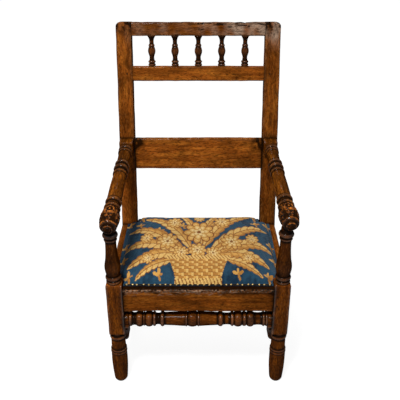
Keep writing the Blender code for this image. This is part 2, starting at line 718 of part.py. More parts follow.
# Side stretchers: square blocks near the ends, round tenons in bored holes
side_tenon_length = SIDE_STRETCHER_INSERT + SIDE_STRETCHER_BLOCK_LENGTH - STRETCHER_BLOCK_LENGTH / 2
side_elements = [
    cone(side_tenon_length, SIDE_STRETCHER_END_RADIUS, SIDE_STRETCHER_END_RADIUS),
    taper(16, 18, 16),
    ring(10, 20.5),
    swell(None, 15, 17.2, 18.5),
    ring(9, 20.8),
    bulb(32, 21.5, 4),
    ring(9, 20.8),
    swell(None, 18.5, 17.2, 15),
    ring(10, 20.5),
    taper(16, 16, 18),
    cone(side_tenon_length, SIDE_STRETCHER_END_RADIUS, SIDE_STRETCHER_END_RADIUS),
]
half_block = STRETCHER_BLOCK_SIDE / 2
for side, side_name in SIDE_NAMES.items():
    name = f"stretcher_{side_name}"
    post_mid_x = (post_outer_x(0.0) + post_inner_x(0.0)) / 2
    rear_y = post_front_y(SIDE_STRETCHER_HEIGHT) + SIDE_STRETCHER_INSERT
    front_end = Vector((side * leg_axis_x, LEG_SIDE - SIDE_STRETCHER_INSERT, SIDE_STRETCHER_HEIGHT))
    rear_end = Vector((side * post_mid_x, rear_y, SIDE_STRETCHER_HEIGHT))
    length = (rear_end - front_end).length
    direction = (rear_end - front_end).normalized()
    side_points = turned_outline(side_elements, length)
    place = pointing(front_end, -direction)
    rung_mesh = turned_mesh(side_points, SIDE_STRETCHER_STEPS, name)
    add_piece(name, rung_mesh, chair_frame, DARK_WALNUT, place)

    # The end blocks stop short of the leg and of the post, whose face rakes back below.
    slack = FIT_GAP + half_block * abs(direction.x)
    rear_face = post_front_y(SIDE_STRETCHER_HEIGHT + half_block)
    block_ends = (SIDE_STRETCHER_INSERT + slack, length - (rear_y - rear_face) - slack)
    for near, inward in zip(block_ends, (1, -1)):
        reach = sorted((-near, -near - inward * SIDE_STRETCHER_BLOCK_LENGTH))
        low = (-half_block, -half_block, reach[0])
        add_joined(name, box_mesh(low, (half_block, half_block, reach[1])), chair_frame, place)
    hole = rod_mesh(SIDE_STRETCHER_END_RADIUS + FIT_GAP, SIDE_STRETCHER_INSERT * 3, SIDE_STRETCHER_STEPS)
    front_hole = pointing(front_end - direction * FIT_GAP, direction)
    rear_hole = pointing(rear_end + direction * FIT_GAP, -direction)
    add_cut(f"front_leg_{side_name}", hole, chair_frame, front_hole)
    add_cut(f"back_post_{side_name}", hole.copy(), chair_frame, rear_hole)

# Rear stretcher: a plain rail between the rear legs
rear_stretcher_z = (REAR_STRETCHER_HEIGHT, REAR_STRETCHER_HEIGHT + REAR_STRETCHER_DEPTH)
rear_stretcher_front = post_front_y(REAR_STRETCHER_HEIGHT) + REAR_STRETCHER_SETBACK
rear_stretcher_y = (rear_stretcher_front, rear_stretcher_front + REAR_STRETCHER_THICKNESS)
rear_half = post_inner_x(0.0)
cross_rail("stretcher_back", rear_half, rear_stretcher_y, rear_stretcher_z, "back_post", SHORT_TENON)

# Arms: square block against the post, turned shaft, swelling grip over the front leg
arm_elements = [
    cone(ARM_BLOCK_SIDE / 4, ARM_BLOCK_SIDE * 0.40, ARM_BLOCK_SIDE * 0.44),
    hollow(10, 17.8, 1.4),
    ring(14, 21.4, 3),
    hollow(4, 17.6, 0.6),
    ring(14, 21, 2.8),
    taper(47, 20.3, 18.8),
    ring(14, 22, 3.2),
    hollow(13, 18.2, 0.6),
    ring(16, 22.4, 3.4),
    hollow(16, 18.4, 0.6),
    ring(14, 21.2, 2.4),
    swell(None, 19.4, 20.5, 20.7),
    ring(14, 22.6, 2.6),
    taper(18, 20.6, 21.4),
    ring(13, 23.4, 2.2),
    swell(70, 22.6, 29.6, 26.6),
    swell(18, 26.6, 25.2, 17.6),
    cone(ARM_BUTTON_RADIUS * 0.87, ARM_BUTTON_RADIUS * 1.2, ARM_BUTTON_RADIUS),
]
turned_start = Matrix.Translation((0.0, 0.0, -ARM_BLOCK_LENGTH + ARM_BLOCK_SIDE / 4))
half_arm = ARM_BLOCK_SIDE / 2
for side, side_name in SIDE_NAMES.items():
    arm_name = f"arm_{side_name}"
    post_name = f"back_post_{side_name}"
    leg_name = f"front_leg_{side_name}"
    frame = arm_frames[side]
    # The block runs past the post's face and is trimmed back to it, with the joint's clearance.
    low = (-half_arm, -half_arm, -ARM_BLOCK_LENGTH)
    block = box_mesh(low, (half_arm, half_arm, half_arm), arm_name)
    bevel_edges(add_piece(arm_name, block, frame, DARK_WALNUT), LEG_EDGE_BEVEL)
    post_low = (-ARM_BLOCK_SIDE, -FIT_GAP, -ARM_BLOCK_SIDE)
    post_space = box_mesh(post_low, (ARM_BLOCK_SIDE, POST_DEPTH, ARM_BLOCK_SIDE))
    post_place = back_place @ Matrix.Translation((0.0, 0.0, ARM_HEIGHT_ON_POST))
    post_place.translation.x = arm_places[side].translation.x
    add_shaper(arm_name, "trimmed", post_space, chair_frame, post_place)
    turned_length = arm_reaches[side] - ARM_BLOCK_LENGTH + ARM_BLOCK_SIDE / 4
    arm_mesh = turned_mesh(turned_outline(arm_elements, turned_length), ARM_STEPS, "arm")
    add_joined(arm_name, arm_mesh, frame, turned_start)

    tenon_half = half_arm - TENON_SHOULDER
    thick = ARM_TENON_THICKNESS / 2
    tenon_low = (-thick, -tenon_half, -ARM_BLOCK_LENGTH / 2)
    tenon_high = (thick, tenon_half, ARM_TENON_LENGTH)
    add_joined(arm_name, box_mesh(tenon_low, tenon_high), frame)
    pocket_low = [value - FIT_GAP for value in tenon_low]
    pocket_high = [value + FIT_GAP for value in tenon_high]
    add_cut(post_name, box_mesh(pocket_low, pocket_high), frame)
    outer = post_outer_x(ARM_HEIGHT_ON_POST)
    start = (side * outer, ARM_TENON_LENGTH / 2, ARM_HEIGHT_ON_POST)
    # This peg ends just past the arm's tenon, short of the mortise of the back rail.
    length = outer - abs(arm_places[side].translation.x) + thick + PEG_RADIUS / 2
    peg(f"peg_arm_{side_name}", back_frame, start, (-side, 0.0, 0.0), (post_name, arm_name), length)

    neck_place = Matrix.Translation((side * leg_axis_x, leg_axis_y, support_tops[side] - LEG_SIDE / 4))
    neck_radius = SUPPORT_NECK_RADIUS + FIT_GAP
    add_cut(arm_name, rod_mesh(neck_radius, LEG_SIDE / 4 + FIT_GAP, LEG_STEPS), chair_frame, neck_place)
    bore_length = LEG_SIDE / 4 + SUPPORT_TENON_LENGTH + FIT_GAP
    bore = rod_mesh(SUPPORT_TENON_RADIUS + FIT_GAP, bore_length, LEG_STEPS)
    add_cut(arm_name, bore, chair_frame, neck_place)

# Seat outline: between the front legs, over the side rails, between the posts
seat_middle = Vector((0.0, (COVER_FRONT_SETBACK + SEAT_DEPTH + COVER_BACK_REACH) / 2))
between_legs = leg_inner_x - COVER_CLEARANCE
between_posts = post_inner_x(0.0) - COVER_CLEARANCE
right_corners = [
    (between_legs, COVER_FRONT_SETBACK),
    (between_legs, LEG_SIDE + COVER_CLEARANCE),
    (rail_front_x - COVER_SIDE_SETBACK, LEG_SIDE + COVER_CLEARANCE),
    (rail_rear_x - COVER_SIDE_SETBACK, SEAT_DEPTH - COVER_CLEARANCE),
    (between_posts, SEAT_DEPTH - COVER_CLEARANCE),
    (between_posts, SEAT_DEPTH + COVER_BACK_REACH),
]
seat_corners = [Vector(corner) for corner in right_corners]
seat_corners += [Vector((-x, y)) for x, y in reversed(right_corners)]


def seat_outline(spacing):
    """The seat's outline, divided into short straight runs, with its outward corners eased."""
    eased = []
    for i, corner in enumerate(seat_corners):
        before = seat_corners[i - 1] - corner
        after = seat_corners[(i + 1) % len(seat_corners)] - corner
        ease = COVER_CORNER if after.cross(before) > 0.0 else COVER_CLEARANCE / 4
        for run in (before, after):
            eased.append(corner + run.normalized() * min(ease, run.length * 0.45))
    points = []
    for start, end in zip(eased, eased[1:] + eased[:1]):
        steps = max(1, math.ceil((end - start).length / spacing))
        points += [start.lerp(end, i / steps) for i in range(steps)]
    return points


seat_points = seat_outline(SEAT_EDGE_SPACING)


def seat_ring(share, height):
    """The outline drawn in towards the middle of the seat, at a height."""
    return [(*seat_middle.lerp(point, share), height) for point in seat_points]


def domed_mesh(rings, name, closed_foot):
    """A skin through rings that rises to the middle, with or without a flat foot."""
    bm = bmesh.new()
    loops = [[bm.verts.new(corner) for corner in seat_ring(*one)] for one in rings[:-1]]
    count = len(seat_points)
    for lower, upper in zip(loops, loops[1:]):
        for i in range(count):
            bm.faces.new((lower[i], lower[(i + 1) % count], upper[(i + 1) % count], upper[i]))
    crown = bm.verts.new((*seat_middle, rings[-1][1]))
    for i in range(count):
        bm.faces.new((loops[-1][i], loops[-1][(i + 1) % count], crown))
    if closed_foot:
        bm.faces.new(list(reversed(loops[0])))
        return mesh_from(bm, name)
    mesh = bpy.data.meshes.new(name)
    bm.to_mesh(mesh)
    bm.free()
    return mesh


webbing_foot = SEAT_HEIGHT + FIT_GAP
cloth_foot = webbing_foot + WEBBING_THICKNESS + FIT_GAP
stuffing_foot = cloth_foot + BASE_CLOTH_THICKNESS + FIT_GAP
crown_shares = [(1.0, 0.0), (0.975, 0.22), (0.90, 0.50), (0.74, 0.78), (0.46, 0.95), (0.0, 1.0)]

stuffing_rings = [(PAD_SHARE * 0.985, stuffing_foot), (PAD_SHARE, stuffing_foot + PAD_EDGE / 2)]
cover_rings = [(1.0, webbing_foot), (PAD_SHARE + 0.010, webbing_foot)]
cover_rings.append((PAD_SHARE + 0.004, stuffing_foot + PAD_EDGE / 2))
for share, rise in crown_shares:
    height = stuffing_foot + PAD_EDGE + PAD_CROWN * rise
    stuffing_rings.append((PAD_SHARE * share, height))
    cover_rings.append((PAD_SHARE * share + 0.004 * (share > 0.0), height + 2 * FIT_GAP))
add_piece("seat_stuffing", domed_mesh(stuffing_rings, "seat_stuffing", True), chair_frame, HORSEHAIR)
cover = add_piece("seat_cover", domed_mesh(cover_rings, "seat_cover", False), chair_frame, NEEDLEWORK)
shell = cover.modifiers.new("cloth_thickness", "SOLIDIFY")
shell.thickness = COVER_THICKNESS
shell.offset = 1.0

# Base cloth, and the strips of webbing as one interlaced layer
cloth_faces = (cloth_foot, cloth_foot + BASE_CLOTH_THICKNESS)
cloth_mesh = loft_mesh([seat_ring(WEBBING_SHARE, height) for height in cloth_faces], "seat_base_cloth")
add_piece("seat_base_cloth", cloth_mesh, chair_frame, HESSIAN)
reach_x = (min(rail_front_x, rail_rear_x) - COVER_SIDE_SETBACK) * WEBBING_SHARE
reach_y = (SEAT_DEPTH + COVER_BACK_REACH - COVER_FRONT_SETBACK) / 2 * WEBBING_SHARE
webbing_top = webbing_foot + WEBBING_THICKNESS
strips = []
for i in range(WEBBING_LENGTHWISE):
    x = between_posts * WEBBING_SHARE * 2 * ((i + 0.5) / WEBBING_LENGTHWISE - 0.5)
    strips.append((x, seat_middle.y, WEBBING_WIDTH / 2, reach_y))
for i in range(WEBBING_CROSSWISE):
    y = seat_middle.y + reach_y * 1.7 * ((i + 0.5) / WEBBING_CROSSWISE - 0.5)
    strips.append((0.0, y, reach_x, WEBBING_WIDTH / 2))
for i, (x, y, half_x, half_y) in enumerate(strips):
    low = (x - half_x, y - half_y, webbing_foot)
    strip = box_mesh(low, (x + half_x, y + half_y, webbing_top), "seat_webbing")
    if i == 0:
        add_piece("seat_webbing", strip, chair_frame, JUTE)
    else:
        add_joined("seat_webbing", strip, chair_frame)

# Trimming strip along the front edge of the cover, with its row of domed nails
band_foot = webbing_foot + COVER_THICKNESS + FIT_GAP
band_half = between_legs - COVER_CORNER / 2
band_y = COVER_FRONT_SETBACK + FIT_GAP + NAIL_BAND_WIDTH / 2
band_low = (-band_half, band_y - NAIL_BAND_WIDTH / 2, band_foot)
band_high = (band_half, band_y + NAIL_BAND_WIDTH / 2, band_foot + NAIL_BAND_THICKNESS)
add_piece("nail_band_front", box_mesh(band_low, band_high, "nail_band_front"), chair_frame, BRASS)
nail_top = NAIL_BAND_THICKNESS + NAIL_CROWN
nail_outline = [
    (0.0, NAIL_RADIUS * 0.45),
    (NAIL_CROWN * 0.6, NAIL_RADIUS),
    (nail_top - NAIL_BAND_THICKNESS / 2, NAIL_RADIUS),
]
nail_mesh = turned_mesh(nail_outline, NAIL_STEPS, "nail")
for i in range(NAIL_COUNT):
    x = (band_half - 2 * NAIL_RADIUS) * (2 * i / (NAIL_COUNT - 1) - 1)
    nail_place = Matrix.Translation((x, band_y, band_foot + nail_top))
    add_joined("nail_band_front", nail_mesh, chair_frame, nail_place)

shape_all_pieces()

# The middle of the chair's box becomes the origin
bpy.context.view_layer.update()
graph = bpy.context.evaluated_depsgraph_get()
corners = []
for piece in [obj for obj in chair.objects if obj.type == "MESH"]:
    corners += [piece.matrix_world @ vertex.co for vertex in piece.evaluated_get(graph).data.vertices]
for axis in (0, 1):
    places = [corner[axis] for corner in corners]
    chair_frame.location[axis] = -(min(places) + max(places)) / 2
bpy.context.view_layer.update()
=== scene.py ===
# %% [markdown]
# # A turned walnut armchair
# The chair is joined from flat posts and rails and from turned legs, arms, spindles and stretchers,
# with a nailed needlework seat. The CAD solids fix every size and place, so this lesson only dresses
# them: each piece is made again with finer detail, in the same frame, and stands for its solid.

# %% Load the frame
import math

import bpy
import numpy as np
from mathutils import Matrix, Vector
from mathutils.bvhtree import BVHTree


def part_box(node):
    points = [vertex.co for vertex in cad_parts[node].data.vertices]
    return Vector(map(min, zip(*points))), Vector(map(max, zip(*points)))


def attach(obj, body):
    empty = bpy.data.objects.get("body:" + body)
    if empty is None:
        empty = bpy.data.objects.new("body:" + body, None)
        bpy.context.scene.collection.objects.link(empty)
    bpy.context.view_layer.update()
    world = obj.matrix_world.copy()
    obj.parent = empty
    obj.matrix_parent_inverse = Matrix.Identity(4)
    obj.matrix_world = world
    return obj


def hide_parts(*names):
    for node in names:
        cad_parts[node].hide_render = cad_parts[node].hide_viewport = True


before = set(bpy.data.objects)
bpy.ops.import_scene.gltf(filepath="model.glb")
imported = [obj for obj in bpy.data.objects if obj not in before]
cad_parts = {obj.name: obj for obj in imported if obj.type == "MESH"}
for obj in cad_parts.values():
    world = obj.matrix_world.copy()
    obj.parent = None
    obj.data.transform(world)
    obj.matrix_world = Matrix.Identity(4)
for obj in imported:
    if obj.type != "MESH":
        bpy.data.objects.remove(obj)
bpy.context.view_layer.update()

# %% [markdown]
# ## The joiner's sizes
# A joiner measures from the front face of the front legs and from the middle of the chair. The same
# few sizes as in the solids place every new piece, and the front rail of the frame shows where that
# starting point lies in the scene.

# %% Sizes and the joiner's starting point
LEFT, RIGHT = -1, 1
SIDES = {LEFT: "left", RIGHT: "right"}
LEG_SIDE, FOOT_HEIGHT, BLOCK_TOP = 0.048, 0.205, 0.395
LEG_AXIS = (0.261, 0.024)
SEAT_DEPTH, SEAT_HEIGHT = 0.422, 0.376
POST_DEPTH, POST_RISE, RAKE_TOP = 0.044, 0.718, 0.285
POST_OUTSIDE, POST_DRAWN_IN = 0.284, 0.010  # outer face at the seat, and how far it comes in at the top
POST_WIDTH, POST_THINNED = 0.056, 0.005  # width at the seat, and how much it loses at the top
BACK_LEAN, REAR_RAKE = math.radians(7.1), math.radians(4.5)
CREST, SPINDLE_RAIL, BACK_RAIL = (0.6735, 0.0445), (0.525, 0.049), (0.2135, 0.111)  # foot, height
RAIL_HALF, RAIL_FOOT, RAIL_SETBACK = 0.237, 0.296, 0.003  # of the front rail, between the front legs
FIT_GAP = 0.0003

rail_low, rail_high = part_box("seat_rail_front")
JOINER_START = np.array([(rail_low.x + rail_high.x) / 2, rail_low.y - RAIL_SETBACK, 0.0])
back_place = Matrix.Translation((0.0, SEAT_DEPTH, SEAT_HEIGHT)) @ Matrix.Rotation(-BACK_LEAN, 4, "X")


def post_outer(rise):
    return POST_OUTSIDE - POST_DRAWN_IN * max(rise, 0.0) / POST_RISE


def post_inner(rise):
    return post_outer(rise) - POST_WIDTH + POST_THINNED * max(rise, 0.0) / POST_RISE


def post_front(height):
    return SEAT_DEPTH + max(RAKE_TOP - height, 0.0) * math.tan(REAR_RAKE)


print("the joiner's starting point is", JOINER_START.round(4))

# %% [markdown]
# ## Small irregularities
# Old handmade wood is never quite flat or round. A sum of a few waves in random directions gives a
# smooth noise that is quick to compute for every corner of a mesh at once, and a fixed seed keeps it
# the same in each run.


# %% Smooth noise for dents and waviness
WAVES, WAVE_SHARE = 10, 3.3


def ripple(points, size, seed):
    """Smooth noise of about -1 to 1 at points, with bumps of a given size."""
    rng = np.random.default_rng(seed)
    total = np.zeros(len(points))
    for _ in range(WAVES):
        direction = rng.normal(size=3)
        direction /= np.linalg.norm(direction)
        wave = 2 * math.pi / (size * rng.uniform(0.8, 2.4))
        total += np.sin(points @ direction * wave + rng.uniform(0.0, 6.28))
    return total / WAVE_SHARE


def smooth_step(values, low, high):
    """0 below low, 1 above high, and a soft rise between them."""
    share = np.clip((values - low) / (high - low), 0.0, 1.0)
    return share * share * (3.0 - 2.0 * share)


def seed_of(name):
    """A seed that belongs to a name."""
    return sum((i + 1) * ord(letter) for i, letter in enumerate(name)) % 9973


def along_line(places):
    """Points for the noise along a line."""
    return np.stack([places, np.zeros_like(places), np.zeros_like(places)], axis=1)


print("noise sample", ripple(np.eye(3), 0.4, 1).round(3))

# %% [markdown]
# ## A small kit for finishes
# A finish is a node tree on the surface shader. Writing each node in full makes a long script, so a
# short helper adds a node, feeds its sockets with values or with other nodes, and hands it back. The
# Geometry Nodes trees further on use the same helper.


# %% Node helper
def add_node(tree, kind, inputs, **settings):
    node = tree.nodes.new(kind)
    for key, value in settings.items():
        setattr(node, key, value)
    for key, value in inputs.items():
        feed(tree, node.inputs[key], value)
    return node


def feed(tree, socket, value):
    if isinstance(value, bpy.types.NodeSocket):
        tree.links.new(value, socket)
    else:
        socket.default_value = value


class Finish:
    """One material, with short calls that add and link its nodes."""

    def __init__(self, name):
        self.material = bpy.data.materials.new(name)
        self.material.use_nodes = True
        self.tree = self.material.node_tree
        self.shader = self.tree.nodes["Principled BSDF"]

    def add(self, kind, inputs, output=0, **settings):
        return add_node(self.tree, kind, inputs, **settings).outputs[output]

    def attribute(self, name, output):
        return self.add("ShaderNodeAttribute", {}, output, attribute_name=name)

    def place(self):
        return self.add("ShaderNodeTexCoord", {}, "Object")

    def split(self, vector):
        return add_node(self.tree, "ShaderNodeSeparateXYZ", {0: vector}).outputs

    def math(self, operation, *values, clamp=False):
        return self.add("ShaderNodeMath", dict(enumerate(values)), operation=operation, use_clamp=clamp)

    def times(self, first, second, clamp=False):
        return self.math("MULTIPLY", first, second, clamp=clamp)

    def plus(self, first, second):
        return self.math("ADD", first, second)

    def most(self, first, *others):
        for other in others:
            first = self.math("MAXIMUM", first, other)
        return first

    def wave(self, value, pitch):
        return self.math("SINE", self.times(value, 2 * math.pi / pitch))

    def stretch(self, vector, scale):
        return self.add("ShaderNodeVectorMath", {0: vector, 1: scale}, operation="MULTIPLY")

    def scaled(self, colour, level):
        return self.add("ShaderNodeVectorMath", {0: colour, "Scale": level}, operation="SCALE")

    def noise(self, vector, detail, rough, distortion=0.0, scale=1.0):
        inputs = {"Vector": vector, "Scale": scale, "Detail": detail, "Roughness": rough}
        return self.add("ShaderNodeTexNoise", inputs | {"Distortion": distortion})

    def spread(self, value, low, high, to_low=0.0, to_high=1.0):
        inputs = {"Value": value, "From Min": low, "From Max": high, "To Min": to_low, "To Max": to_high}
        return self.add("ShaderNodeMapRange", inputs)

    def mix(self, share, first, second):
        return self.add("ShaderNodeMix", {0: share, 6: first, 7: second}, 2, data_type="RGBA")

    def ramp(self, share, stops):
        made = add_node(self.tree, "ShaderNodeValToRGB", {0: share})
        while len(made.color_ramp.elements) < len(stops):
            made.color_ramp.elements.new(0.5)
        for element, (place, colour) in zip(made.color_ramp.elements, stops):
            element.position = place
            element.color = (*colour, 1.0)
        return made.outputs[0]

    def bump(self, height, depth, strength=1.0):
        inputs = {"Height": height, "Distance": depth, "Strength": strength}
        return self.add("ShaderNodeBump", inputs)

    def surface(self, **sockets):
        for name, value in sockets.items():
            feed(self.tree, self.shader.inputs[name.replace("_", " ")], value)
        return self.material


print("a finish knows", len([name for name in vars(Finish) if name[0] != "_"]), "short calls")

# %% [markdown]
# ## Waxed walnut
# Old walnut is an orange-brown wood with dark streaks, short flecks and a wax polish. Stains and dirt
# have settled in it, most of all in grooves and joints, where painted shade darkens it too, while the
# edges that hands touch are rubbed lighter, partly as painted highlight. The grain has to follow each
# piece, so the mesh carries its own timber coordinates, with the length along Z, and the amounts of
# wear, of grime and shade, and of bleaching and painted sheen at each corner. Small painted glints fleck
# it. The wood itself hardly shines; a thin coat over it stands for the wax and gives the crisp highlights.


# %% Walnut finish
MARK_BROWN, GRIME_AND_SHADE_BLACK = (0.011, 0.0040, 0.0011, 1.0), (0.0060, 0.0024, 0.0008, 1.0)
RUBBED_AND_HIGHLIGHT_GOLD, GLINT_GOLD = (0.360, 0.165, 0.060, 1.0), (0.420, 0.180, 0.050, 1.0)
BLEACHED_AND_SHEEN = [(0.34, (0.040, 0.023, 0.014)), (0.62, (0.400, 0.275, 0.195))]
WAX_ROUGHNESS, WAX_IOR = 0.13, 2.6


def walnut(name, dark, middle, light, roughness, polish):
    kit = Finish(name)
    timber = kit.attribute("timber", "Vector")
    wear, grime, tone, bleach = [kit.attribute(key, "Fac") for key in ("wear", "grime", "tone", "bleach")]
    streaks = kit.noise(kit.stretch(timber, (100.0, 100.0, 8.0)), 6.0, 0.62, 0.6)
    flecks = kit.noise(kit.stretch(timber, (230.0, 230.0, 48.0)), 3.0, 0.6, 0.4)
    figure = kit.noise(kit.stretch(timber, (24.0, 24.0, 4.5)), 3.0, 0.5, 1.8)
    mottle = kit.noise(kit.stretch(timber, (15.0, 15.0, 9.0)), 5.0, 0.62, 0.4)
    stains = kit.noise(kit.stretch(timber, (36.0, 36.0, 17.0)), 5.0, 0.66, 0.9)
    pores = kit.noise(kit.stretch(timber, (430.0, 430.0, 90.0)), 2.0, 0.5)
    knocks = kit.noise(kit.stretch(timber, (130.0, 130.0, 70.0)), 3.0, 0.6)

    grain = kit.plus(kit.times(streaks, 0.50), kit.times(figure, 0.30))
    grain = kit.plus(grain, kit.times(flecks, 0.20))
    colour = kit.ramp(grain, [(0.34, dark), (0.50, middle), (0.65, light)])
    patches = kit.spread(mottle, 0.32, 0.68, 0.48, 1.40)
    colour = kit.scaled(colour, kit.times(patches, tone))
    # Paling of weathered wood, partly painted sheen and highlight.
    colour = kit.mix(bleach, colour, kit.ramp(stains, BLEACHED_AND_SHEEN))
    # Rubbed edges and proud beads are lightened, partly as painted highlight.
    rubbed_and_highlit = kit.times(wear, kit.spread(stains, 0.46, 0.58))
    colour = kit.mix(kit.times(rubbed_and_highlit, 0.32), colour, RUBBED_AND_HIGHLIGHT_GOLD)
    glints = kit.times(kit.spread(pores, 0.40, 0.33), 0.16)
    colour = kit.mix(glints, colour, GLINT_GOLD)
    specks = kit.times(kit.spread(flecks, 0.54, 0.66), 0.68)
    spots = kit.times(kit.spread(stains, 0.55, 0.70), 0.78)
    soiled = kit.times(kit.times(wear, kit.spread(stains, 0.60, 0.44)), 0.70)
    marks = kit.most(specks, spots, soiled, kit.times(kit.spread(pores, 0.53, 0.63), 0.62))
    colour = kit.mix(marks, colour, MARK_BROWN)
    # Grooves, hollows and joints are darkened towards black, as dirt and as painted shade.
    dirt_and_shade = kit.times(grime, kit.spread(streaks, 0.25, 0.50, 1.05, 1.40), clamp=True)
    colour = kit.mix(kit.times(dirt_and_shade, 0.96), colour, GRIME_AND_SHADE_BLACK)

    rough = kit.spread(streaks, 0.3, 0.7, roughness - 0.07, roughness + 0.10)
    rough = kit.plus(kit.plus(rough, kit.times(dirt_and_shade, 0.16)), kit.times(bleach, 0.15))
    fine = kit.math("SUBTRACT", kit.times(streaks, 0.45), kit.times(marks, 0.50))
    normal = kit.bump(kit.plus(fine, kit.times(knocks, 0.9)), 0.0008, 0.8)
    shine = kit.times(kit.plus(kit.times(wear, 3.4), 0.22), polish)
    return kit.surface(
        Base_Color=colour, Roughness=rough, Normal=normal, Specular_IOR_Level=0.0,
        Coat_Weight=shine, Coat_Roughness=WAX_ROUGHNESS, Coat_IOR=WAX_IOR,
    )


WALNUT = walnut(
    "waxed_walnut", (0.080, 0.0185, 0.0024), (0.225, 0.0585, 0.0062), (0.390, 0.1260, 0.0145), 0.42, 0.0045
)
# A darker walnut for legs, stretchers and spindles: partly darker wood, partly painted shade.
DARK_AND_SHADED_WALNUT = walnut(
    "dark_turned_walnut", (0.050, 0.0110, 0.0010), (0.172, 0.0420, 0.0030), (0.430, 0.1180, 0.0080), 0.34, 0.040
)
HANDLED_WALNUT = walnut(
    "handled_walnut", (0.034, 0.0080, 0.0008), (0.182, 0.0490, 0.0034), (0.500, 0.1520, 0.0120), 0.34, 0.034
)
print("walnut finishes", WALNUT.name, DARK_AND_SHADED_WALNUT.name, HANDLED_WALNUT.name)

# %% [markdown]
# ## From rows of points to a piece
# Every wooden piece is one or more closed skins. A skin keeps its corners in the joiner's frame and,
# with them, the timber coordinates and wear that the finish reads. Joining the skins of a leg or an
# arm into one mesh keeps them one piece, at the origin, with its place in the mesh.


# %% Skins and wooden pieces
def skin(corners, faces, timber, wear):
    return {"corners": corners, "faces": faces, "timber": timber, "wear": wear}


def tube_faces(sections, around):
    """Faces of a skin through closed rows of points, with a fan on both ends."""
    index = np.arange(sections * around).reshape(sections, around)
    ahead = np.roll(index, -1, axis=1)
    quads = np.stack([index[:-1], ahead[:-1], ahead[1:], index[1:]], axis=-1).reshape(-1, 4).tolist()
    first, last = sections * around, sections * around + 1
    quads += [(first, b, a) for a, b in zip(index[0].tolist(), ahead[0].tolist())]
    quads += [(last, a, b) for a, b in zip(index[-1].tolist(), ahead[-1].tolist())]
    return quads


def new_object(name, data):
    made = bpy.data.objects.new(name, data)
    bpy.context.scene.collection.objects.link(made)
    return made


def corners_of(mesh):
    corners = np.empty(len(mesh.vertices) * 3)
    mesh.vertices.foreach_get("co", corners)
    return corners.reshape(-1, 3)


def set_attribute(mesh, name, kind, values):
    layer = mesh.attributes.new(name, kind, "POINT")
    key = "vector" if kind == "FLOAT_VECTOR" else "value"
    layer.data.foreach_set(key, np.ascontiguousarray(values, dtype=np.float32).ravel())


def outward(mesh):
    """Turns a closed skin's faces outwards if their volume comes out negative."""
    mesh.calc_loop_triangles()
    corners = corners_of(mesh)
    triangles = np.array([triangle.vertices for triangle in mesh.loop_triangles])
    a, b, c = (corners[triangles[:, i]] for i in range(3))
    if np.einsum("ij,ij->i", a, np.cross(b, c)).sum() < 0.0:
        mesh.flip_normals()


wooden_pieces = []


def wooden_piece(name, skins, tone, material, nodes, bleach=None):
    """Joins skins into one wooden piece that stands for its CAD nodes."""
    meshes = []
    shift = np.random.default_rng(seed_of(name)).uniform(-4.0, 4.0, 3)
    for one in skins:
        mesh = bpy.data.meshes.new(name)
        mesh.from_pydata((one["corners"] + JOINER_START).tolist(), [], one["faces"])
        outward(mesh)
        set_attribute(mesh, "timber", "FLOAT_VECTOR", one["timber"] + shift)
        set_attribute(mesh, "wear", "FLOAT", one["wear"])
        count = len(one["corners"])
        set_attribute(mesh, "tone", "FLOAT", np.full(count, tone * one.get("tone", 1.0)))
        # Paling of weathered wood, partly painted sheen and highlight, where a piece has it.
        paling_and_sheen = np.zeros(count) if bleach is None else bleach(one["corners"])
        set_attribute(mesh, "bleach", "FLOAT", paling_and_sheen)
        set_attribute(mesh, "grime", "FLOAT", one.get("grime", np.zeros(count)))
        meshes.append(mesh)
    piece = new_object(name, meshes[0])
    if len(meshes) > 1:
        extra = [new_object(f"{name}_{i}", mesh) for i, mesh in enumerate(meshes[1:])]
        with bpy.context.temp_override(active_object=piece, selected_editable_objects=[piece, *extra]):
            bpy.ops.object.join()
    piece.data.materials.append(material)
    piece.data.shade_smooth()
    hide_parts(*nodes)
    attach(piece, "root")
    wooden_pieces.append(piece)
    return piece


print("kit for wooden pieces is ready")

# %% [markdown]
# ## Planks with worn edges
# A post or a rail starts as a sawn plank whose edges have been rubbed round over the years, more in
# one place than in another. A plain bevelled box looks machine made, so the plank is drawn through
# many rounded rectangles, and each of the four corner radii wanders along the length.


# %% Plank skin
ARC_POINTS = 5
LEAST_EASE, CRISP_EASE = 0.35, 0.0005


def eased_rectangle(half_u, half_v, radii, along_u, along_v):
    """Points round a rectangle with four eased corners, as rows of (u, v)."""
    corners = ((1, 1), (-1, 1), (-1, -1), (1, -1))
    arcs = []
    for i, (u, v) in enumerate(corners):
        radius = min(radii[i], half_u * 0.95, half_v * 0.95)
        angles = (i + np.linspace(0.0, 1.0, ARC_POINTS)) * math.pi / 2
        middle = np.array((u * (half_u - radius), v * (half_v - radius)))
        arcs.append(middle + radius * np.stack([np.cos(angles), np.sin(angles)], axis=1))
    rows = []
    for i in range(4):
        count = along_u if i % 2 == 0 else along_v
        shares = np.linspace(0.0, 1.0, count + 2)[1:-1, None]
        rows.append(arcs[i])
        rows.append(arcs[i][-1] * (1.0 - shares) + arcs[(i + 1) % 4][0] * shares)
    return np.concatenate(rows)


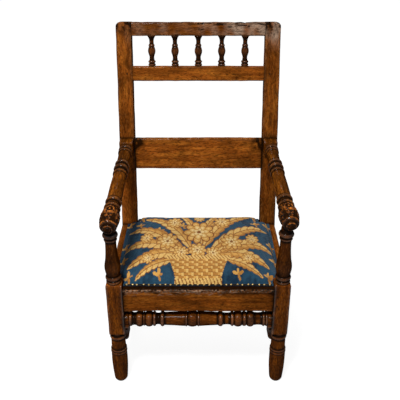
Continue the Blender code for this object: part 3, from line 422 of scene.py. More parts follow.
def plank(
    stations, ease, seed, step=0.005, along_u=9, along_v=5, wander=0.5, cut=None, end_ease=None, crisp=()
):
    """A plank through stations of four corners (-u-v, +u-v, +u+v, -u+v), with worn edges.

    The stretches in crisp, from and to a place, keep the -u edges sharp, where a rail is flush."""
    stations = np.array(stations, dtype=float)
    middles = stations.mean(axis=1)
    reach = np.concatenate([[0.0], np.cumsum(np.linalg.norm(np.diff(middles, axis=0), axis=1))])
    length = reach[-1]
    end_ease = ease if end_ease is None else end_ease
    turn = np.sin(np.linspace(0.0, math.pi / 2, 4))
    near = end_ease * (1.0 - turn[::-1])
    inner = np.linspace(end_ease, length - end_ease, max(2, int((length - 2 * end_ease) / step)))
    places = np.unique(np.concatenate([near, inner, length - near, reach[1:-1]]).round(7))
    to_end = np.minimum(places, length - places)
    inset = end_ease - np.sqrt(np.clip(end_ease**2 - np.clip(end_ease - to_end, 0.0, None) ** 2, 0.0, None))
    inset = np.where(to_end < end_ease, inset, 0.0)
    corners = np.empty((len(places), 4, 3))
    for i in range(4):
        for axis in range(3):
            corners[:, i, axis] = np.interp(places, reach, stations[:, i, axis])
    if cut is not None:
        corners = cut(corners, places, length)
    track = along_line(places)
    wavers = [
        ripple(track, 0.10, seed + 7 * i) + 0.6 * ripple(track, 0.022, seed + 7 * i + 3) for i in range(4)
    ]
    rows, timber, wear = [], [], []
    for k, place in enumerate(places):
        a, b, c, d = corners[k]
        half_u, half_v = np.linalg.norm(b - a) / 2, np.linalg.norm(d - a) / 2
        radii = [ease * max(LEAST_EASE, 1.0 + wander * waver[k]) for waver in wavers]
        if any(start < place < end for start, end in crisp):
            radii[1] = radii[2] = CRISP_EASE
        shape = eased_rectangle(half_u - inset[k], half_v - inset[k], radii, along_u, along_v)
        s = (shape[:, 0] / half_u + 1.0)[:, None] / 2
        t = (shape[:, 1] / half_v + 1.0)[:, None] / 2
        rows.append(a * (1 - s) * (1 - t) + b * s * (1 - t) + c * s * t + d * (1 - s) * t)
        timber.append(np.column_stack([shape, np.full(len(shape), place)]))
        edge = np.hypot(np.abs(shape[:, 0]) - half_u, np.abs(shape[:, 1]) - half_v)
        wear.append(np.exp(-((edge / (ease * 1.5)) ** 2)))
    around = len(rows[0])
    ends = np.array([rows[0].mean(axis=0), rows[-1].mean(axis=0)])
    end_timber = np.array([[0.0, 0.0, 0.0], [0.0, 0.0, length]])
    faces = tube_faces(len(rows), around)
    corners = np.concatenate([*rows, ends])
    timber = np.concatenate([*timber, end_timber])
    wear = np.concatenate([*wear, np.zeros(2)])
    return skin(corners, faces, timber, wear)


def hand_worn(one, depth, size, seed):
    """Moves a skin's corners a little along their outward direction, as planing by hand leaves them."""
    mesh = bpy.data.meshes.new("worn")
    mesh.from_pydata(one["corners"].tolist(), [], one["faces"])
    outward(mesh)
    normals = np.empty(len(mesh.vertices) * 3)
    mesh.vertex_normals.foreach_get("vector", normals)
    bpy.data.meshes.remove(mesh)
    one["normals"] = normals.reshape(-1, 3)
    amount = depth * (ripple(one["timber"], size, seed) - 1.0) / 2
    one["corners"] = one["corners"] + one["normals"] * amount[:, None]
    return one


print("one eased section has", len(eased_rectangle(0.03, 0.02, [0.003] * 4, 9, 5)), "points")

# %% [markdown]
# ## Back posts
# Each post is one plank from the floor to the top: raked below the seat, leaning back above it, with
# the outer top corner sawn round. It could be a bent box, but a plank through a few stations follows
# the same lines and keeps the grain along the post.


# %% Back posts
def post_station(side, outer, inner, front_point, rear_point):
    corners = [(inner, front_point), (outer, front_point), (outer, rear_point), (inner, rear_point)]
    return [(side * x, *point) for x, point in corners]


def upper_station(side, rise):
    front_point = (back_place @ Vector((0.0, 0.0, rise))).yz
    rear_point = (back_place @ Vector((0.0, POST_DEPTH, rise))).yz
    return post_station(side, post_outer(rise), post_inner(rise), front_point, rear_point)


def lower_station(side, height):
    y = post_front(height)
    return post_station(side, post_outer(0.0), post_inner(0.0), (y, height), (y + POST_DEPTH, height))


def round_top(corners, places, length):
    """Draws the outer edge in over the last bit of the post, as a quarter round."""
    radius = 0.014
    left = np.clip(length - places, 0.0, radius)
    inset = radius - np.sqrt(radius**2 - (radius - left) ** 2)
    across = corners[:, 0] - corners[:, 1]
    across /= np.linalg.norm(across, axis=1)[:, None]
    corners[:, 1] += across * inset[:, None]
    corners[:, 2] += across * inset[:, None]
    return corners


def weathered_top_and_sheen(corners):
    """The bleached, weathered look of the top of the back, with painted sheen, strongest towards the right."""
    height = smooth_step(corners[:, 2], 0.985, 1.075)
    towards = smooth_step(corners[:, 0], -0.05, 0.20) * 0.75 + 0.16
    patchy = 0.6 + 0.55 * ripple(corners, 0.045, 31)
    return np.clip(height * towards * patchy, 0.0, 0.85)


POST_EASE, POST_END_EASE = 0.0035, 0.0022
# Below the seat the tone is painted light and shade: the left post is lightened, the right one darkened.
POST_TONES_AND_LIGHT = {LEFT: (0.86, 1.65), RIGHT: (0.74, 0.72)}  # the whole post, and its share below the seat
for side, side_name in SIDES.items():
    stations = [lower_station(side, 0.0), lower_station(side, RAKE_TOP)]
    stations += [upper_station(side, 0.0), upper_station(side, POST_RISE)]
    seat_place = sum(math.dist(a[0], b[0]) for a, b in zip(stations[:2], stations[1:3]))
    rails = (BACK_RAIL, SPINDLE_RAIL, CREST)
    crisp = [(seat_place + rise, seat_place + rise + height) for rise, height in rails]
    post = plank(stations, POST_EASE, 40 + side, 0.0045, 11, 9, 0.45, round_top, POST_END_EASE, crisp)
    post = hand_worn(post, 0.0007, 0.05, 60 + side)
    tone, low_tone_and_light = POST_TONES_AND_LIGHT[side]
    # Painted light and shade on the lower post, fading out between 0.45 and 0.80 m up.
    post["tone"] = low_tone_and_light + (1.0 - low_tone_and_light) * smooth_step(post["corners"][:, 2], 0.45, 0.80)
    at_top = smooth_step(post["corners"][:, 2], 1.040, 1.088)
    post["grime"] = 0.85 * at_top * smooth_step(ripple(post["corners"], 0.012, 33) + 0.5, 0.0, 1.0)
    name = f"old_back_post_{side_name}"
    made = wooden_piece(name, [post], tone, WALNUT, [f"back_post_{side_name}"], weathered_top_and_sheen)
    print(made.name, len(made.data.polygons), "faces")

# %% [markdown]
# ## Rails of the back
# Three flat rails are tenoned between the posts. Their ends follow the slight taper of the posts, so
# each corner of the plank is placed by the width between the posts at its own height. The crest has
# lost splinters along its top edge: a few dents are pressed into it where the noise runs high.


# %% Rails of the back
def back_rail_skin(foot, height, thickness, setback, ease, seed):
    stations = []
    for share in (-1.0, 1.0):
        row = []
        for y, rise in ((0.0, foot), (0.0, foot + height), (thickness, foot + height), (thickness, foot)):
            x = share * (post_inner(rise) - FIT_GAP)
            row.append(back_place @ Vector((x, setback + y, rise)))
        stations.append([tuple(corner) for corner in row])
    return hand_worn(plank(stations, ease, seed, 0.003, 12, 6, end_ease=0.0006), 0.0005, 0.04, seed + 1)


GOUGES = [  # x, how far below the top, half length and half width
    (0.150, 0.0105, 0.017, 0.0024), (0.166, 0.0125, 0.010, 0.0020), (0.012, 0.0250, 0.013, 0.0019),
    (0.020, 0.0035, 0.030, 0.0022), (0.070, 0.0045, 0.022, 0.0018), (0.105, 0.0150, 0.008, 0.0014),
]
SPLINTER_DEPTH, GOUGE_DEPTH, BLACK_DEPTH = 0.0030, 0.0022, 0.0018


def splintered(one, top, seed):
    """Presses splinter marks into a top edge and a few long gouges into the face below it."""
    corners = one["corners"]
    near_top = smooth_step(corners[:, 2], top - 0.014, top - 0.001)
    marks = smooth_step(ripple(corners * (1.0, 1.0, 3.5), 0.030, seed), 0.10, 0.90)
    worse = 0.20 + 0.80 * smooth_step(corners[:, 0], -0.04, 0.06)
    depth = SPLINTER_DEPTH * near_top * marks * worse
    ragged = 1.0 + 0.35 * ripple(corners, 0.008, seed + 1)
    for x, below, half_long, half_wide in GOUGES:
        away = np.hypot((corners[:, 0] - x) / half_long, (corners[:, 2] - top + below) / half_wide)
        depth = np.maximum(depth, GOUGE_DEPTH * (1.0 - smooth_step(away * ragged, 0.55, 1.05)))
    one["corners"] = corners - one["normals"] * depth[:, None]
    one["grime"] = np.clip(depth / BLACK_DEPTH, 0.0, 1.0)
    return one


crest = back_rail_skin(*CREST, 0.028, 0.001, 0.0040, 71)
crest = splintered(crest, float(crest["corners"][:, 2].max()), 19)
wooden_piece("old_crest_rail", [crest], 0.59, WALNUT, ["crest_rail"], weathered_top_and_sheen)
low_rail = back_rail_skin(*SPINDLE_RAIL, 0.028, 0.001, 0.0030, 81)
wooden_piece("old_spindle_rail", [low_rail], 0.93, WALNUT, ["spindle_rail"], weathered_top_and_sheen)
wide_rail = back_rail_skin(*BACK_RAIL, 0.022, 0.002, 0.0036, 91)
corners = wide_rail["corners"]
# Dark smudges at the upper ends of the rail, by the posts and arms: dirt and painted shade.
from_end = (np.abs(corners[:, 0]) - 0.213) / 0.026
from_top = (corners[:, 2] - corners[:, 2].max() + 0.014) / 0.022
shade_and_dirt_smudge = np.exp(-(from_end**2) - from_top**2)
wide_rail["grime"] = 0.95 * shade_and_dirt_smudge * smooth_step(ripple(corners, 0.014, 95) + 0.9, 0.0, 0.8)
wooden_piece("old_back_rail", [wide_rail], 0.98, WALNUT, ["back_rail"])
print("rails of the back made:", [piece.name for piece in wooden_pieces[-3:]])

# %% [markdown]
# ## Seat rails and the rear stretcher
# The seat frame is four rails tenoned into the legs and posts. The front rail has been knocked for
# generations: its top front edge is chipped and rubbed pale, with a painted highlight along it, and the
# top behind that edge is darkened by dirt and painted shade. The chips are real dents, because light
# catches them from every side.


# %% Seat rails
def box_stations(low, high, axis):
    """Two stations of a straight plank that runs along an axis between two corners."""
    u, v = [i for i in range(3) if i != axis]
    stations = []
    for end in (low[axis], high[axis]):
        row = []
        for along_u, along_v in ((low[u], low[v]), (high[u], low[v]), (high[u], high[v]), (low[u], high[v])):
            corner = [0.0, 0.0, 0.0]
            corner[axis], corner[u], corner[v] = end, along_u, along_v
            row.append(tuple(corner))
        stations.append(row)
    return stations


CHIP_DEPTH, MOST_GRIME_AND_SHADE = 0.0028, 0.97


def chipped(one, top, front):
    """Chips out of the top front edge of the front rail, and darkens the top behind it with dirt and painted
    shade.
    """
    corners = one["corners"]
    at_edge = np.exp(-(((corners[:, 2] - top) / 0.007) ** 2) - ((corners[:, 1] - front) / 0.009) ** 2)
    bites = smooth_step(ripple(corners, 0.008, 5) + 0.8 * ripple(corners, 0.0045, 6), 0.2, 1.0)
    one["corners"] = corners - one["normals"] * (CHIP_DEPTH * at_edge * bites)[:, None]
    # A pale line between the chips: worn edge, partly painted highlight.
    one["wear"] = np.clip(one["wear"] + 0.6 * at_edge * (1.0 - bites), 0.0, 1.2)
    # The top behind the front edge is darkened: dirt and painted shade.
    shade_and_dirt_behind_edge = smooth_step(corners[:, 1], front + 0.004, front + 0.007)
    shade_and_dirt_behind_edge = shade_and_dirt_behind_edge * smooth_step(corners[:, 2], top - 0.02, top)
    band = smooth_step(corners[:, 2], top - 0.022, top - 0.008) * (1.0 - at_edge)
    band = band * smooth_step(ripple(corners * (0.4, 1.0, 1.0), 0.016, 9) + 0.4, 0.0, 0.9)
    grime = np.maximum.reduce([0.95 * at_edge * bites, 0.93 * shade_and_dirt_behind_edge, 0.75 * band])
    one["grime"] = np.clip(grime, 0.0, MOST_GRIME_AND_SHADE)
    return one


def rubbed_edge_and_highlight(corners):
    """Pale specks along the top front edge of the front rail: bare worn wood, and a painted highlight along the
    edge.
    """
    near = np.exp(-(((corners[:, 2] - 0.3735) / 0.0058) ** 2)) * (corners[:, 1] < 0.014)
    lower = 0.55 * smooth_step(corners[:, 2], 0.352, 0.364) * (corners[:, 1] < 0.010)
    lower *= smooth_step(ripple(corners * (0.6, 1.0, 1.0), 0.006, 8), 0.35, 0.75) * (corners[:, 0] < 0.09)
    specks = smooth_step(ripple(corners * (0.8, 1.0, 1.0), 0.0036, 7), -0.30, 0.30)
    return np.clip(np.maximum(1.25 * near * specks, lower), 0.0, 1.0)


half = RAIL_HALF - FIT_GAP
stations = box_stations((-half, RAIL_SETBACK, RAIL_FOOT), (half, 0.045, SEAT_HEIGHT), 0)
front_rail = plank(stations, 0.0030, 101, 0.0020, 14, 30)
front_rail = chipped(hand_worn(front_rail, 0.0008, 0.04, 102), SEAT_HEIGHT, RAIL_SETBACK)
wooden_piece("old_front_rail", [front_rail], 0.94, WALNUT, ["seat_rail_front"], rubbed_edge_and_highlight)

half = post_inner(0.0) - FIT_GAP
rear_rail = plank(box_stations((-half, 0.432, 0.311), (half, 0.459, SEAT_HEIGHT), 0), 0.003, 111)
rear_rail = hand_worn(rear_rail, 0.0006, 0.05, 112)
wooden_piece("old_rear_rail", [rear_rail], 0.75, WALNUT, ["seat_rail_back"])

bar_foot, bar_top = 0.150, 0.190
y = post_front(bar_foot) + 0.010
low_bar = plank(box_stations((-half, y, bar_foot), (half, y + 0.022, bar_top), 0), 0.003, 121)
low_bar = hand_worn(low_bar, 0.0006, 0.05, 122)
wooden_piece("old_rear_stretcher", [low_bar], 0.70, DARK_AND_SHADED_WALNUT, ["stretcher_back"])

foot, thickness = 0.306, 0.050
for side, side_name in SIDES.items():
    stations = []
    for outer, y in ((0.2835, LEG_SIDE + FIT_GAP), (0.2825, SEAT_DEPTH - FIT_GAP)):
        inner = outer - thickness
        row = ((inner, foot), (outer, foot), (outer, SEAT_HEIGHT), (inner, SEAT_HEIGHT))
        stations.append([(side * x, y, z) for x, z in row])
    side_rail = hand_worn(plank(stations, 0.0038, 130 + side), 0.0007, 0.05, 132 + side)
    name = f"old_side_rail_{side_name}"
    wooden_piece(name, [side_rail], 0.78, WALNUT, [f"seat_rail_{side_name}"])
print("seat frame made:", [piece.name for piece in wooden_pieces[-5:]])

# %% [markdown]
# ## Turning on the lathe
# A turner cuts beads, hollows and swellings along a spinning billet, so a turned piece follows one
# rule: a radius for each place along the axis. Geometry Nodes does the same work: a line of points
# carries the radius, and Curve to Mesh sweeps a circle along it. The outline is listed as the turner
# would call it out, in millimetres, from one end to the other.


# %% Lathe tree
def new_tree(name, inputs):
    """A Geometry Nodes tree with a geometry input and output, and the identifiers of more inputs."""
    tree = bpy.data.node_groups.new(name, "GeometryNodeTree")
    tree.interface.new_socket("Geometry", in_out="INPUT", socket_type="NodeSocketGeometry")
    tree.interface.new_socket("Geometry", in_out="OUTPUT", socket_type="NodeSocketGeometry")
    named = {}
    for label, kind in inputs.items():
        named[label] = tree.interface.new_socket(label, in_out="INPUT", socket_type=kind).identifier
    return tree, named, tree.nodes.new("NodeGroupInput").outputs


def made_real(tree, geometry, finish):
    """Turns instances into a mesh and puts the finish on it."""
    realize = add_node(tree, "GeometryNodeRealizeInstances", {0: geometry})
    inputs = {"Geometry": realize.outputs[0], "Material": finish}
    return add_node(tree, "GeometryNodeSetMaterial", inputs).outputs[0]


def lathe_tree():
    tree, named, given = new_tree("lathe", {"Facets": "NodeSocketInt", "Finish": "NodeSocketMaterial"})
    radius = add_node(tree, "GeometryNodeInputNamedAttribute", {"Name": "turned_radius"}, data_type="FLOAT")
    axis = add_node(tree, "GeometryNodeMeshToCurve", {0: given["Geometry"]})
    circle = add_node(tree, "GeometryNodeCurvePrimitiveCircle", {"Resolution": given["Facets"], "Radius": 1.0})
    inputs = {"Curve": axis.outputs[0], "Profile Curve": circle.outputs[0], "Fill Caps": True}
    inputs["Scale"] = radius.outputs["Attribute"]
    sweep = add_node(tree, "GeometryNodeCurveToMesh", inputs)
    add_node(tree, "NodeGroupOutput", {0: made_real(tree, sweep.outputs[0], given["Finish"])})
    return tree, named


LATHE, LATHE_INPUTS = lathe_tree()
print("lathe tree has", len(LATHE.nodes), "nodes and the inputs", list(LATHE_INPUTS))

# %% [markdown]
# ## Calling out an outline
# A bead is fuller than an arc of a circle and stands off its neighbours by a sharp step, while a
# swelling is long and slow. Each element gives its length and three radii, and how full its curve is.
# The finished outline is then rubbed a little, so no step is razor sharp.


# %% Outline elements
MM = 1000.0  # millimetres in a metre
NICK = 0.12  # in millimetres, the step between two elements


def swell(length, first, middle, last, full=1.0):
    return (length, first, middle, last, full)


def bead(length, radius, foot=3.5):
    return (length, radius - foot, radius, radius - foot, 0.55)


def hollow(length, radius, rim=1.5):
    return (length, radius + rim, radius, radius + rim, 0.75)


def taper(length, first, last):
    return (length, first, (first + last) / 2, last, 1.0)


def outline(elements, total, step=0.0007, rub=0.0005):
    """Even places along the axis, and the radius at each, for a list of elements in millimetres."""
    given = sum(one[0] for one in elements if one[0] is not None)
    free = sum(one[0] is None for one in elements)
    at, places, radii = 0.0, [], []
    for length, first, middle, last, full in elements:
        length = (total * MM - given) / free if length is None else length
        t = np.linspace(0.0, 1.0, max(8, int(length * 4)))
        bulge = (middle - (first + last) / 2) * np.sin(math.pi * t) ** full
        places.append(at + NICK + (length - 2 * NICK) * t)
        radii.append(first + (last - first) * t + bulge)
        at += length
    places, radii = np.concatenate(places) / MM, np.concatenate(radii) / MM
    even = np.arange(0.0, at / MM, step)
    width = max(1, int(round(2.5 * rub / step)))
    weights = np.exp(-((np.arange(-width, width + 1) * step / rub) ** 2) / 2)
    return even, averaged(np.interp(even, places, radii), width, weights)


def averaged(radius, width, weights):
    """Each radius averaged with its neighbours."""
    padded = np.pad(radius, width, mode="edge")
    return np.convolve(padded, weights / weights.sum(), mode="valid")


def relief(places, radius, reach):
    """How far each place stands proud of its neighbourhood, in metres."""
    width = max(1, int(reach / (places[1] - places[0])))
    return radius - averaged(radius, width, np.hanning(2 * width + 3)[1:-1])


def rim_above(places, radius, reach):
    """How far each place lies below the highest rim in its reach, in metres."""
    width = int(reach / (places[1] - places[0]))
    windows = np.lib.stride_tricks.sliding_window_view(np.pad(radius, width, mode="edge"), 2 * width + 1)
    return np.max(windows, axis=1) - radius


print("a bead of 10 mm:", outline([bead(10, 20)], 0.010)[1].round(4)[:4], "...")

# %% [markdown]
# ## From the lathe to a skin
# The axis runs down from the origin. The tree sweeps the circle, and the plain mesh that comes out is
# read back as rows of points. Hand turning leaves a faint wobble, grooves and the hollows below the
# rims hold grime and painted shade, and the proud beads are rubbed lighter, partly as painted
# highlight: all three follow from the outline itself.


# %% Turned skin
PROUD_REACH, GROOVE_REACH, RIM_REACH = 0.010, 0.0045, 0.009


def plain_result(piece):
    """Turns a piece with modifiers into a plain mesh piece, and gives its corners back."""
    graph = bpy.context.evaluated_depsgraph_get()
    mesh = bpy.data.meshes.new_from_object(piece.evaluated_get(graph))
    piece.modifiers.clear()
    old = piece.data
    piece.data = mesh
    bpy.data.meshes.remove(old)
    return corners_of(mesh)


def turned(name, places, radius, facets, material, wobble=0.004):
    """A turned skin along -Z from the origin, with timber, wear, and dirt and painted shade, from its outline.
    """
    axis = bpy.data.meshes.new(name)
    line = [(0.0, 0.0, -at) for at in places]
    axis.from_pydata(line, [(i, i + 1) for i in range(len(line) - 1)], [])
    set_attribute(axis, "turned_radius", "FLOAT", radius)
    billet = new_object(name, axis)
    lathe = billet.modifiers.new("lathe", "NODES")
    lathe.node_group = LATHE
    lathe[LATHE_INPUTS["Facets"]] = facets
    lathe[LATHE_INPUTS["Finish"]] = material
    corners = plain_result(billet)
    mesh = billet.data
    faces = [list(face.vertices) for face in mesh.polygons]
    bpy.data.objects.remove(billet)
    bpy.data.meshes.remove(mesh)
    angle = np.arctan2(corners[:, 1], corners[:, 0])
    along = -corners[:, 2]
    lean = ripple(along_line(along), 0.06, seed_of(name))
    oval = np.sin(2.0 * angle + 4.0 * lean)
    three_sided = 0.6 * np.sin(3.0 * angle - 2.0 * lean)
    corners[:, :2] *= (1.0 + wobble * oval + wobble * three_sided)[:, None]
    proud = np.interp(along, places, relief(places, radius, PROUD_REACH))
    deep = np.interp(along, places, relief(places, radius, GROOVE_REACH))
    below = np.interp(along, places, rim_above(places, radius, RIM_REACH))
    wear = np.clip(proud / 0.0022, 0.0, 1.0)
    # Hollows below the nearby rims and narrow grooves are darkened: dirt and painted shade.
    grime = np.clip(below / 0.0060, 0.0, 0.68) + np.clip(-deep / 0.0007, 0.0, 0.9)
    one = skin(corners, faces, corners.copy(), wear)
    one["grime"] = np.clip(grime, 0.0, MOST_GRIME_AND_SHADE)
    return one


def placed(one, place):
    """A skin moved from its own axis to its place in the chair."""
    turn, shift = np.array(place.to_3x3()), np.array(place.translation)
    moved = dict(one)
    moved["corners"] = one["corners"] @ turn.T + shift
    return moved


def pointing(start, direction):
    """A place whose -Z runs along a direction from a start."""
    turn = Vector((0.0, 0.0, -1.0)).rotation_difference(Vector(direction))
    return Matrix.Translation(start) @ turn.to_matrix().to_4x4()


print("lathe is ready")

# %% [markdown]
# ## Front legs
# A front leg is one billet: a turned foot, a square block left for the mortises, and a turned support
# under the arm. The turned parts run a little way into the block, so the shoulders of the square
# show as they do on a real leg.

# %% Front legs
FOOT = [
    taper(12, 20.6, 23.6), swell(12, 23.8, 22.0, 23.0), bead(12, 25.8, 3.0), taper(41, 22.8, 23.4),
    bead(9, 26.2, 3.0), bead(11, 26.6, 3.0), swell(None, 25.6, 25.4, 22.0), swell(14, 22.0, 20.0, 14.0),
]
SUPPORT = [
    bead(16, 23.2, 5.0), hollow(2.5, 17.6, 0.8), bead(9, 20.0, 2.8), hollow(3, 16.0, 0.6),
    swell(None, 16.8, 17.6, 20.6), swell(56, 20.6, 24.6, 20.0), bead(14, 24.4, 4.2), hollow(3, 19.2, 0.8),
    bead(10, 23.2, 2.8), taper(12, 20.2, 20.2),
]
SUPPORT_RISE = {LEFT: 0.183, RIGHT: 0.193}
SUPPORT_TIP = {LEFT: taper(7, 16.0, 16.8), RIGHT: taper(13, 16.0, 16.8)}
LEG_TONES = {LEFT: (1.03, 0.81, 0.45), RIGHT: (0.67, 0.57, 0.48)}  # block, foot, support
LEG_FACETS, INTO_BLOCK, WIDER_INSIDE = 56, 0.012, 0.0025
for side, side_name in SIDES.items():
    x, y = side * LEG_AXIS[0], LEG_AXIS[1]
    foot = turned(f"foot_{side_name}", *outline(FOOT, FOOT_HEIGHT + INTO_BLOCK), LEG_FACETS, DARK_AND_SHADED_WALNUT)
    support_top = BLOCK_TOP + SUPPORT_RISE[side]
    shape = outline([SUPPORT_TIP[side], *SUPPORT], support_top - BLOCK_TOP + INTO_BLOCK)
    support = turned(f"support_{side_name}", *shape, LEG_FACETS, DARK_AND_SHADED_WALNUT)
    wide = sorted((x + side * LEG_SIDE / 2, x - side * (LEG_SIDE / 2 + WIDER_INSIDE)))
    low = (wide[0], 0.0, FOOT_HEIGHT)
    block = plank(box_stations(low, (wide[1], LEG_SIDE, BLOCK_TOP), 2), 0.0028, 140 + side, 0.004, 9, 9)
    skins = [
        hand_worn(block, 0.0006, 0.04, 142 + side),
        placed(foot, Matrix.Translation((x, y, FOOT_HEIGHT + INTO_BLOCK))),
        placed(support, Matrix.Translation((x, y, support_top))),
    ]
    for one, share in zip(skins, LEG_TONES[side]):
        one["tone"] = share
    for one in skins[1:]:
        one["timber"] = one["corners"] - (x, y, 0.0)
    made = wooden_piece(
        f"old_front_leg_{side_name}", skins, 1.0, DARK_AND_SHADED_WALNUT, [f"front_leg_{side_name}"]
    )
    print(made.name, len(made.data.polygons), "faces")

# %% [markdown]
# ## Stretchers
# The front stretcher is turned all along, with a string of beads that the turner repeated by eye, and
# short square ends. The side stretchers are plainer and keep square blocks near both ends.

# %% Stretchers
FRONT_STRETCHER = [
    taper(7.75, 18.0, 19.0), bead(11, 24.4, 4.2), hollow(12, 20.0), bead(23, 25.8, 6.4), bead(6, 23.0, 2.2),
    bead(25, 25.8, 6.4), bead(9, 24.2, 2.8), hollow(15, 18.2), bead(12, 25.0, 4.4), swell(66, 20.6, 22.0, 24.0),
    bead(8, 25.2, 3.4), bead(31, 26.0, 5.0), bead(8, 25.2, 3.4), swell(None, 24.0, 22.0, 20.6),
    bead(15, 24.8, 4.6), hollow(25, 18.6), bead(10, 24.4, 4.0), bead(27, 25.8, 6.4), bead(13, 24.2, 3.6),
    bead(24, 25.8, 6.4), hollow(26, 19.6), bead(9, 24.4, 4.2), bead(9, 24.4, 4.2), taper(7.75, 19.0, 18.0),
]
SIDE_STRETCHER = [
    taper(63.25, 10.5, 10.5), taper(16, 18.0, 16.0), bead(10, 20.5, 4.0), swell(None, 15.0, 17.2, 18.5),
    bead(9, 20.8, 4.0), bead(32, 21.5, 5.0), bead(9, 20.8, 4.0), swell(None, 18.5, 17.2, 15.0),
    bead(10, 20.5, 4.0), taper(16, 16.0, 18.0), taper(63.25, 10.5, 10.5),
]
shoulder, bar_height, half_block = RAIL_HALF - FIT_GAP, 0.2530, 0.022
end_block = 0.0155
turned_half = shoulder - end_block / 2
bar = turned("front_stretcher", *outline(FRONT_STRETCHER, 2 * turned_half), LEG_FACETS, DARK_AND_SHADED_WALNUT)
skins = [placed(bar, pointing((-turned_half, LEG_AXIS[1], bar_height), (1.0, 0.0, 0.0)))]
for side in SIDES:
    ends = sorted((side * shoulder, side * (shoulder - end_block)))
    low = (ends[0], LEG_AXIS[1] - half_block, bar_height - half_block)
    high = (ends[1], LEG_AXIS[1] + half_block, bar_height + half_block)
    skins.append(plank(box_stations(low, high, 0), 0.0026, 150 + side, 0.003, 8, 8))
wooden_piece("old_front_stretcher", skins, 0.82, DARK_AND_SHADED_WALNUT, ["stretcher_front"])

height, insert, block_length, wider_inside, lifted = 0.160, 0.016, 0.055, 0.008, 0.003
for side, side_name in SIDES.items():
    front_end = Vector((side * LEG_AXIS[0], LEG_SIDE - insert, height))
    rear_end = Vector((side * (post_outer(0.0) - POST_WIDTH / 2), post_front(height) + insert, height))
    length, direction = (rear_end - front_end).length, (rear_end - front_end).normalized()
    rung = turned(f"side_stretcher_{side_name}", *outline(SIDE_STRETCHER, length), 48, DARK_AND_SHADED_WALNUT)
    skins = [placed(rung, pointing(front_end, direction))]
    back_face = (post_front(height + half_block) - front_end.y) / direction.y
    for near, inward in ((insert + 2 * FIT_GAP, 1), (back_face - 2 * FIT_GAP, -1)):
        reach = sorted((near, near + inward * block_length))
        middle = [front_end + direction * at for at in reach]
        wide = sorted((middle[0].x + side * half_block, middle[0].x - side * (half_block + wider_inside)))
        low = (wide[0], middle[0].y, height - half_block + lifted)
        high = (wide[1], middle[1].y, height + half_block + lifted)
        skins.append(plank(box_stations(low, high, 1), 0.0080, 160 + side, 0.004, 8, 8))
    name = f"old_side_stretcher_{side_name}"
    made = wooden_piece(name, skins, 0.62, DARK_AND_SHADED_WALNUT, [f"stretcher_{side_name}"])
    print(made.name, len(made.data.polygons), "faces")

# %% [markdown]
# ## Arms with carved grips
# An arm is a square block against the post, a turned shaft, and a swollen grip over the front leg. The
# grip is carved: two rows of lobed leaves run towards the front, and an oval boss sits in a hollow on
# top. The carver works on the turned swelling, so the leaves are cut into the turned skin by moving
# its corners in and out along the radius.

# %% Outline and lie of the arms
ARM = [
    taper(10.75, 18.2, 19.4), hollow(7, 17.4, 1.6), bead(15, 24.2, 5.8), hollow(3, 17.8, 0.8),
    bead(15, 23.6, 5.4), taper(60, 20.8, 19.6), bead(14, 24.2, 5.2), hollow(12, 18.4, 0.8),
    bead(17, 25.0, 5.6), hollow(13, 18.8, 0.8), bead(15, 24.2, 4.6), swell(None, 21.2, 22.8, 22.6),
    bead(15, 25.4, 4.8), swell(16, 20.8, 20.4, 22.0), bead(14, 25.6, 4.6), swell(74, 21.8, 30.4, 25.8),
    swell(11, 25.8, 25.4, 20.4, 0.8), hollow(4.5, 13.4, 1.0), bead(5, 15.6, 3.0), hollow(2, 9.6, 0.4),
    swell(3.5, 9.6, 8.4, 3.0),
]
GRIP_LENGTH, GRIP_END = 0.074, 0.026
ARM_INTO_BLOCK, ARM_OVER_SUPPORT, ARM_PAST_LEG = 0.01075, 0.0265, 0.042
ARM_OUTSET = {LEFT: 0.0, RIGHT: 0.006}
ARM_TONES = {LEFT: 0.72, RIGHT: 0.62}
ARM_BLOCK, ARM_BLOCK_HALF, ARM_ON_POST = 0.028, 0.0236, 0.303


def arm_lie(side):
    """The place of an arm, with -Z from its post to its front end, and its length to that end."""
    on_post = (post_outer(ARM_ON_POST) + post_inner(ARM_ON_POST)) / 2
    rear = back_place @ Vector((side * on_post, 0.0, ARM_ON_POST))
    height = BLOCK_TOP + SUPPORT_RISE[side] + ARM_OVER_SUPPORT
    front = Vector((side * (LEG_AXIS[0] + ARM_OUTSET[side]), LEG_AXIS[1], height))
    along = (rear - front).normalized()
    across = along.cross(Vector((0.0, 0.0, 1.0))).normalized()
    turn = Matrix((across, along.cross(across), along)).transposed().to_4x4()
    return Matrix.Translation(rear) @ turn, (rear - front).length + ARM_PAST_LEG


print("arm lengths", [round(arm_lie(side)[1], 4) for side in SIDES])

# %% [markdown]
# ## Cutting the leaves
# A leaf is drawn in the grip's own map: one direction along the arm, the other round it. Its edge has
# lobes, a midrib groove runs down its middle and side veins slant from it; the ground between the
# leaves is cut lower. The same depth tells where the carving is darkened.


# %% Carving of a grip
def leaf_row(along, turn, count, shift):
    """Height of one row of leaves, 0 on the ground to 1 on a leaf, with its veins cut in."""
    across = (turn / (2 * math.pi) * count + shift) % 1.0 - 0.5
    inside = np.clip(along, 0.0, 1.0)
    lobes = 0.80 + 0.20 * np.abs(np.cos(math.pi * 4.0 * inside))
    half_width = 0.43 * np.sqrt(np.clip(1.0 - inside**2.4, 0.0, 1.0)) * lobes
    body = smooth_step(half_width - np.abs(across), -0.02, 0.07)
    body *= ((along > -0.02) & (along < 1.0)).astype(float)
    rib = np.exp(-((across / 0.05) ** 2))
    veins = 0.5 + 0.5 * np.cos(2 * math.pi * (4.0 * inside - 3.2 * np.abs(across)))
    return body * (1.0 - 0.50 * rib - 0.26 * veins * (np.abs(across) > 0.06))


GROUND_DEPTH, HOLLOW_DEPTH, BOSS_HEIGHT, BOSS_SHARE = 0.0032, 0.0044, 0.0046, 0.46


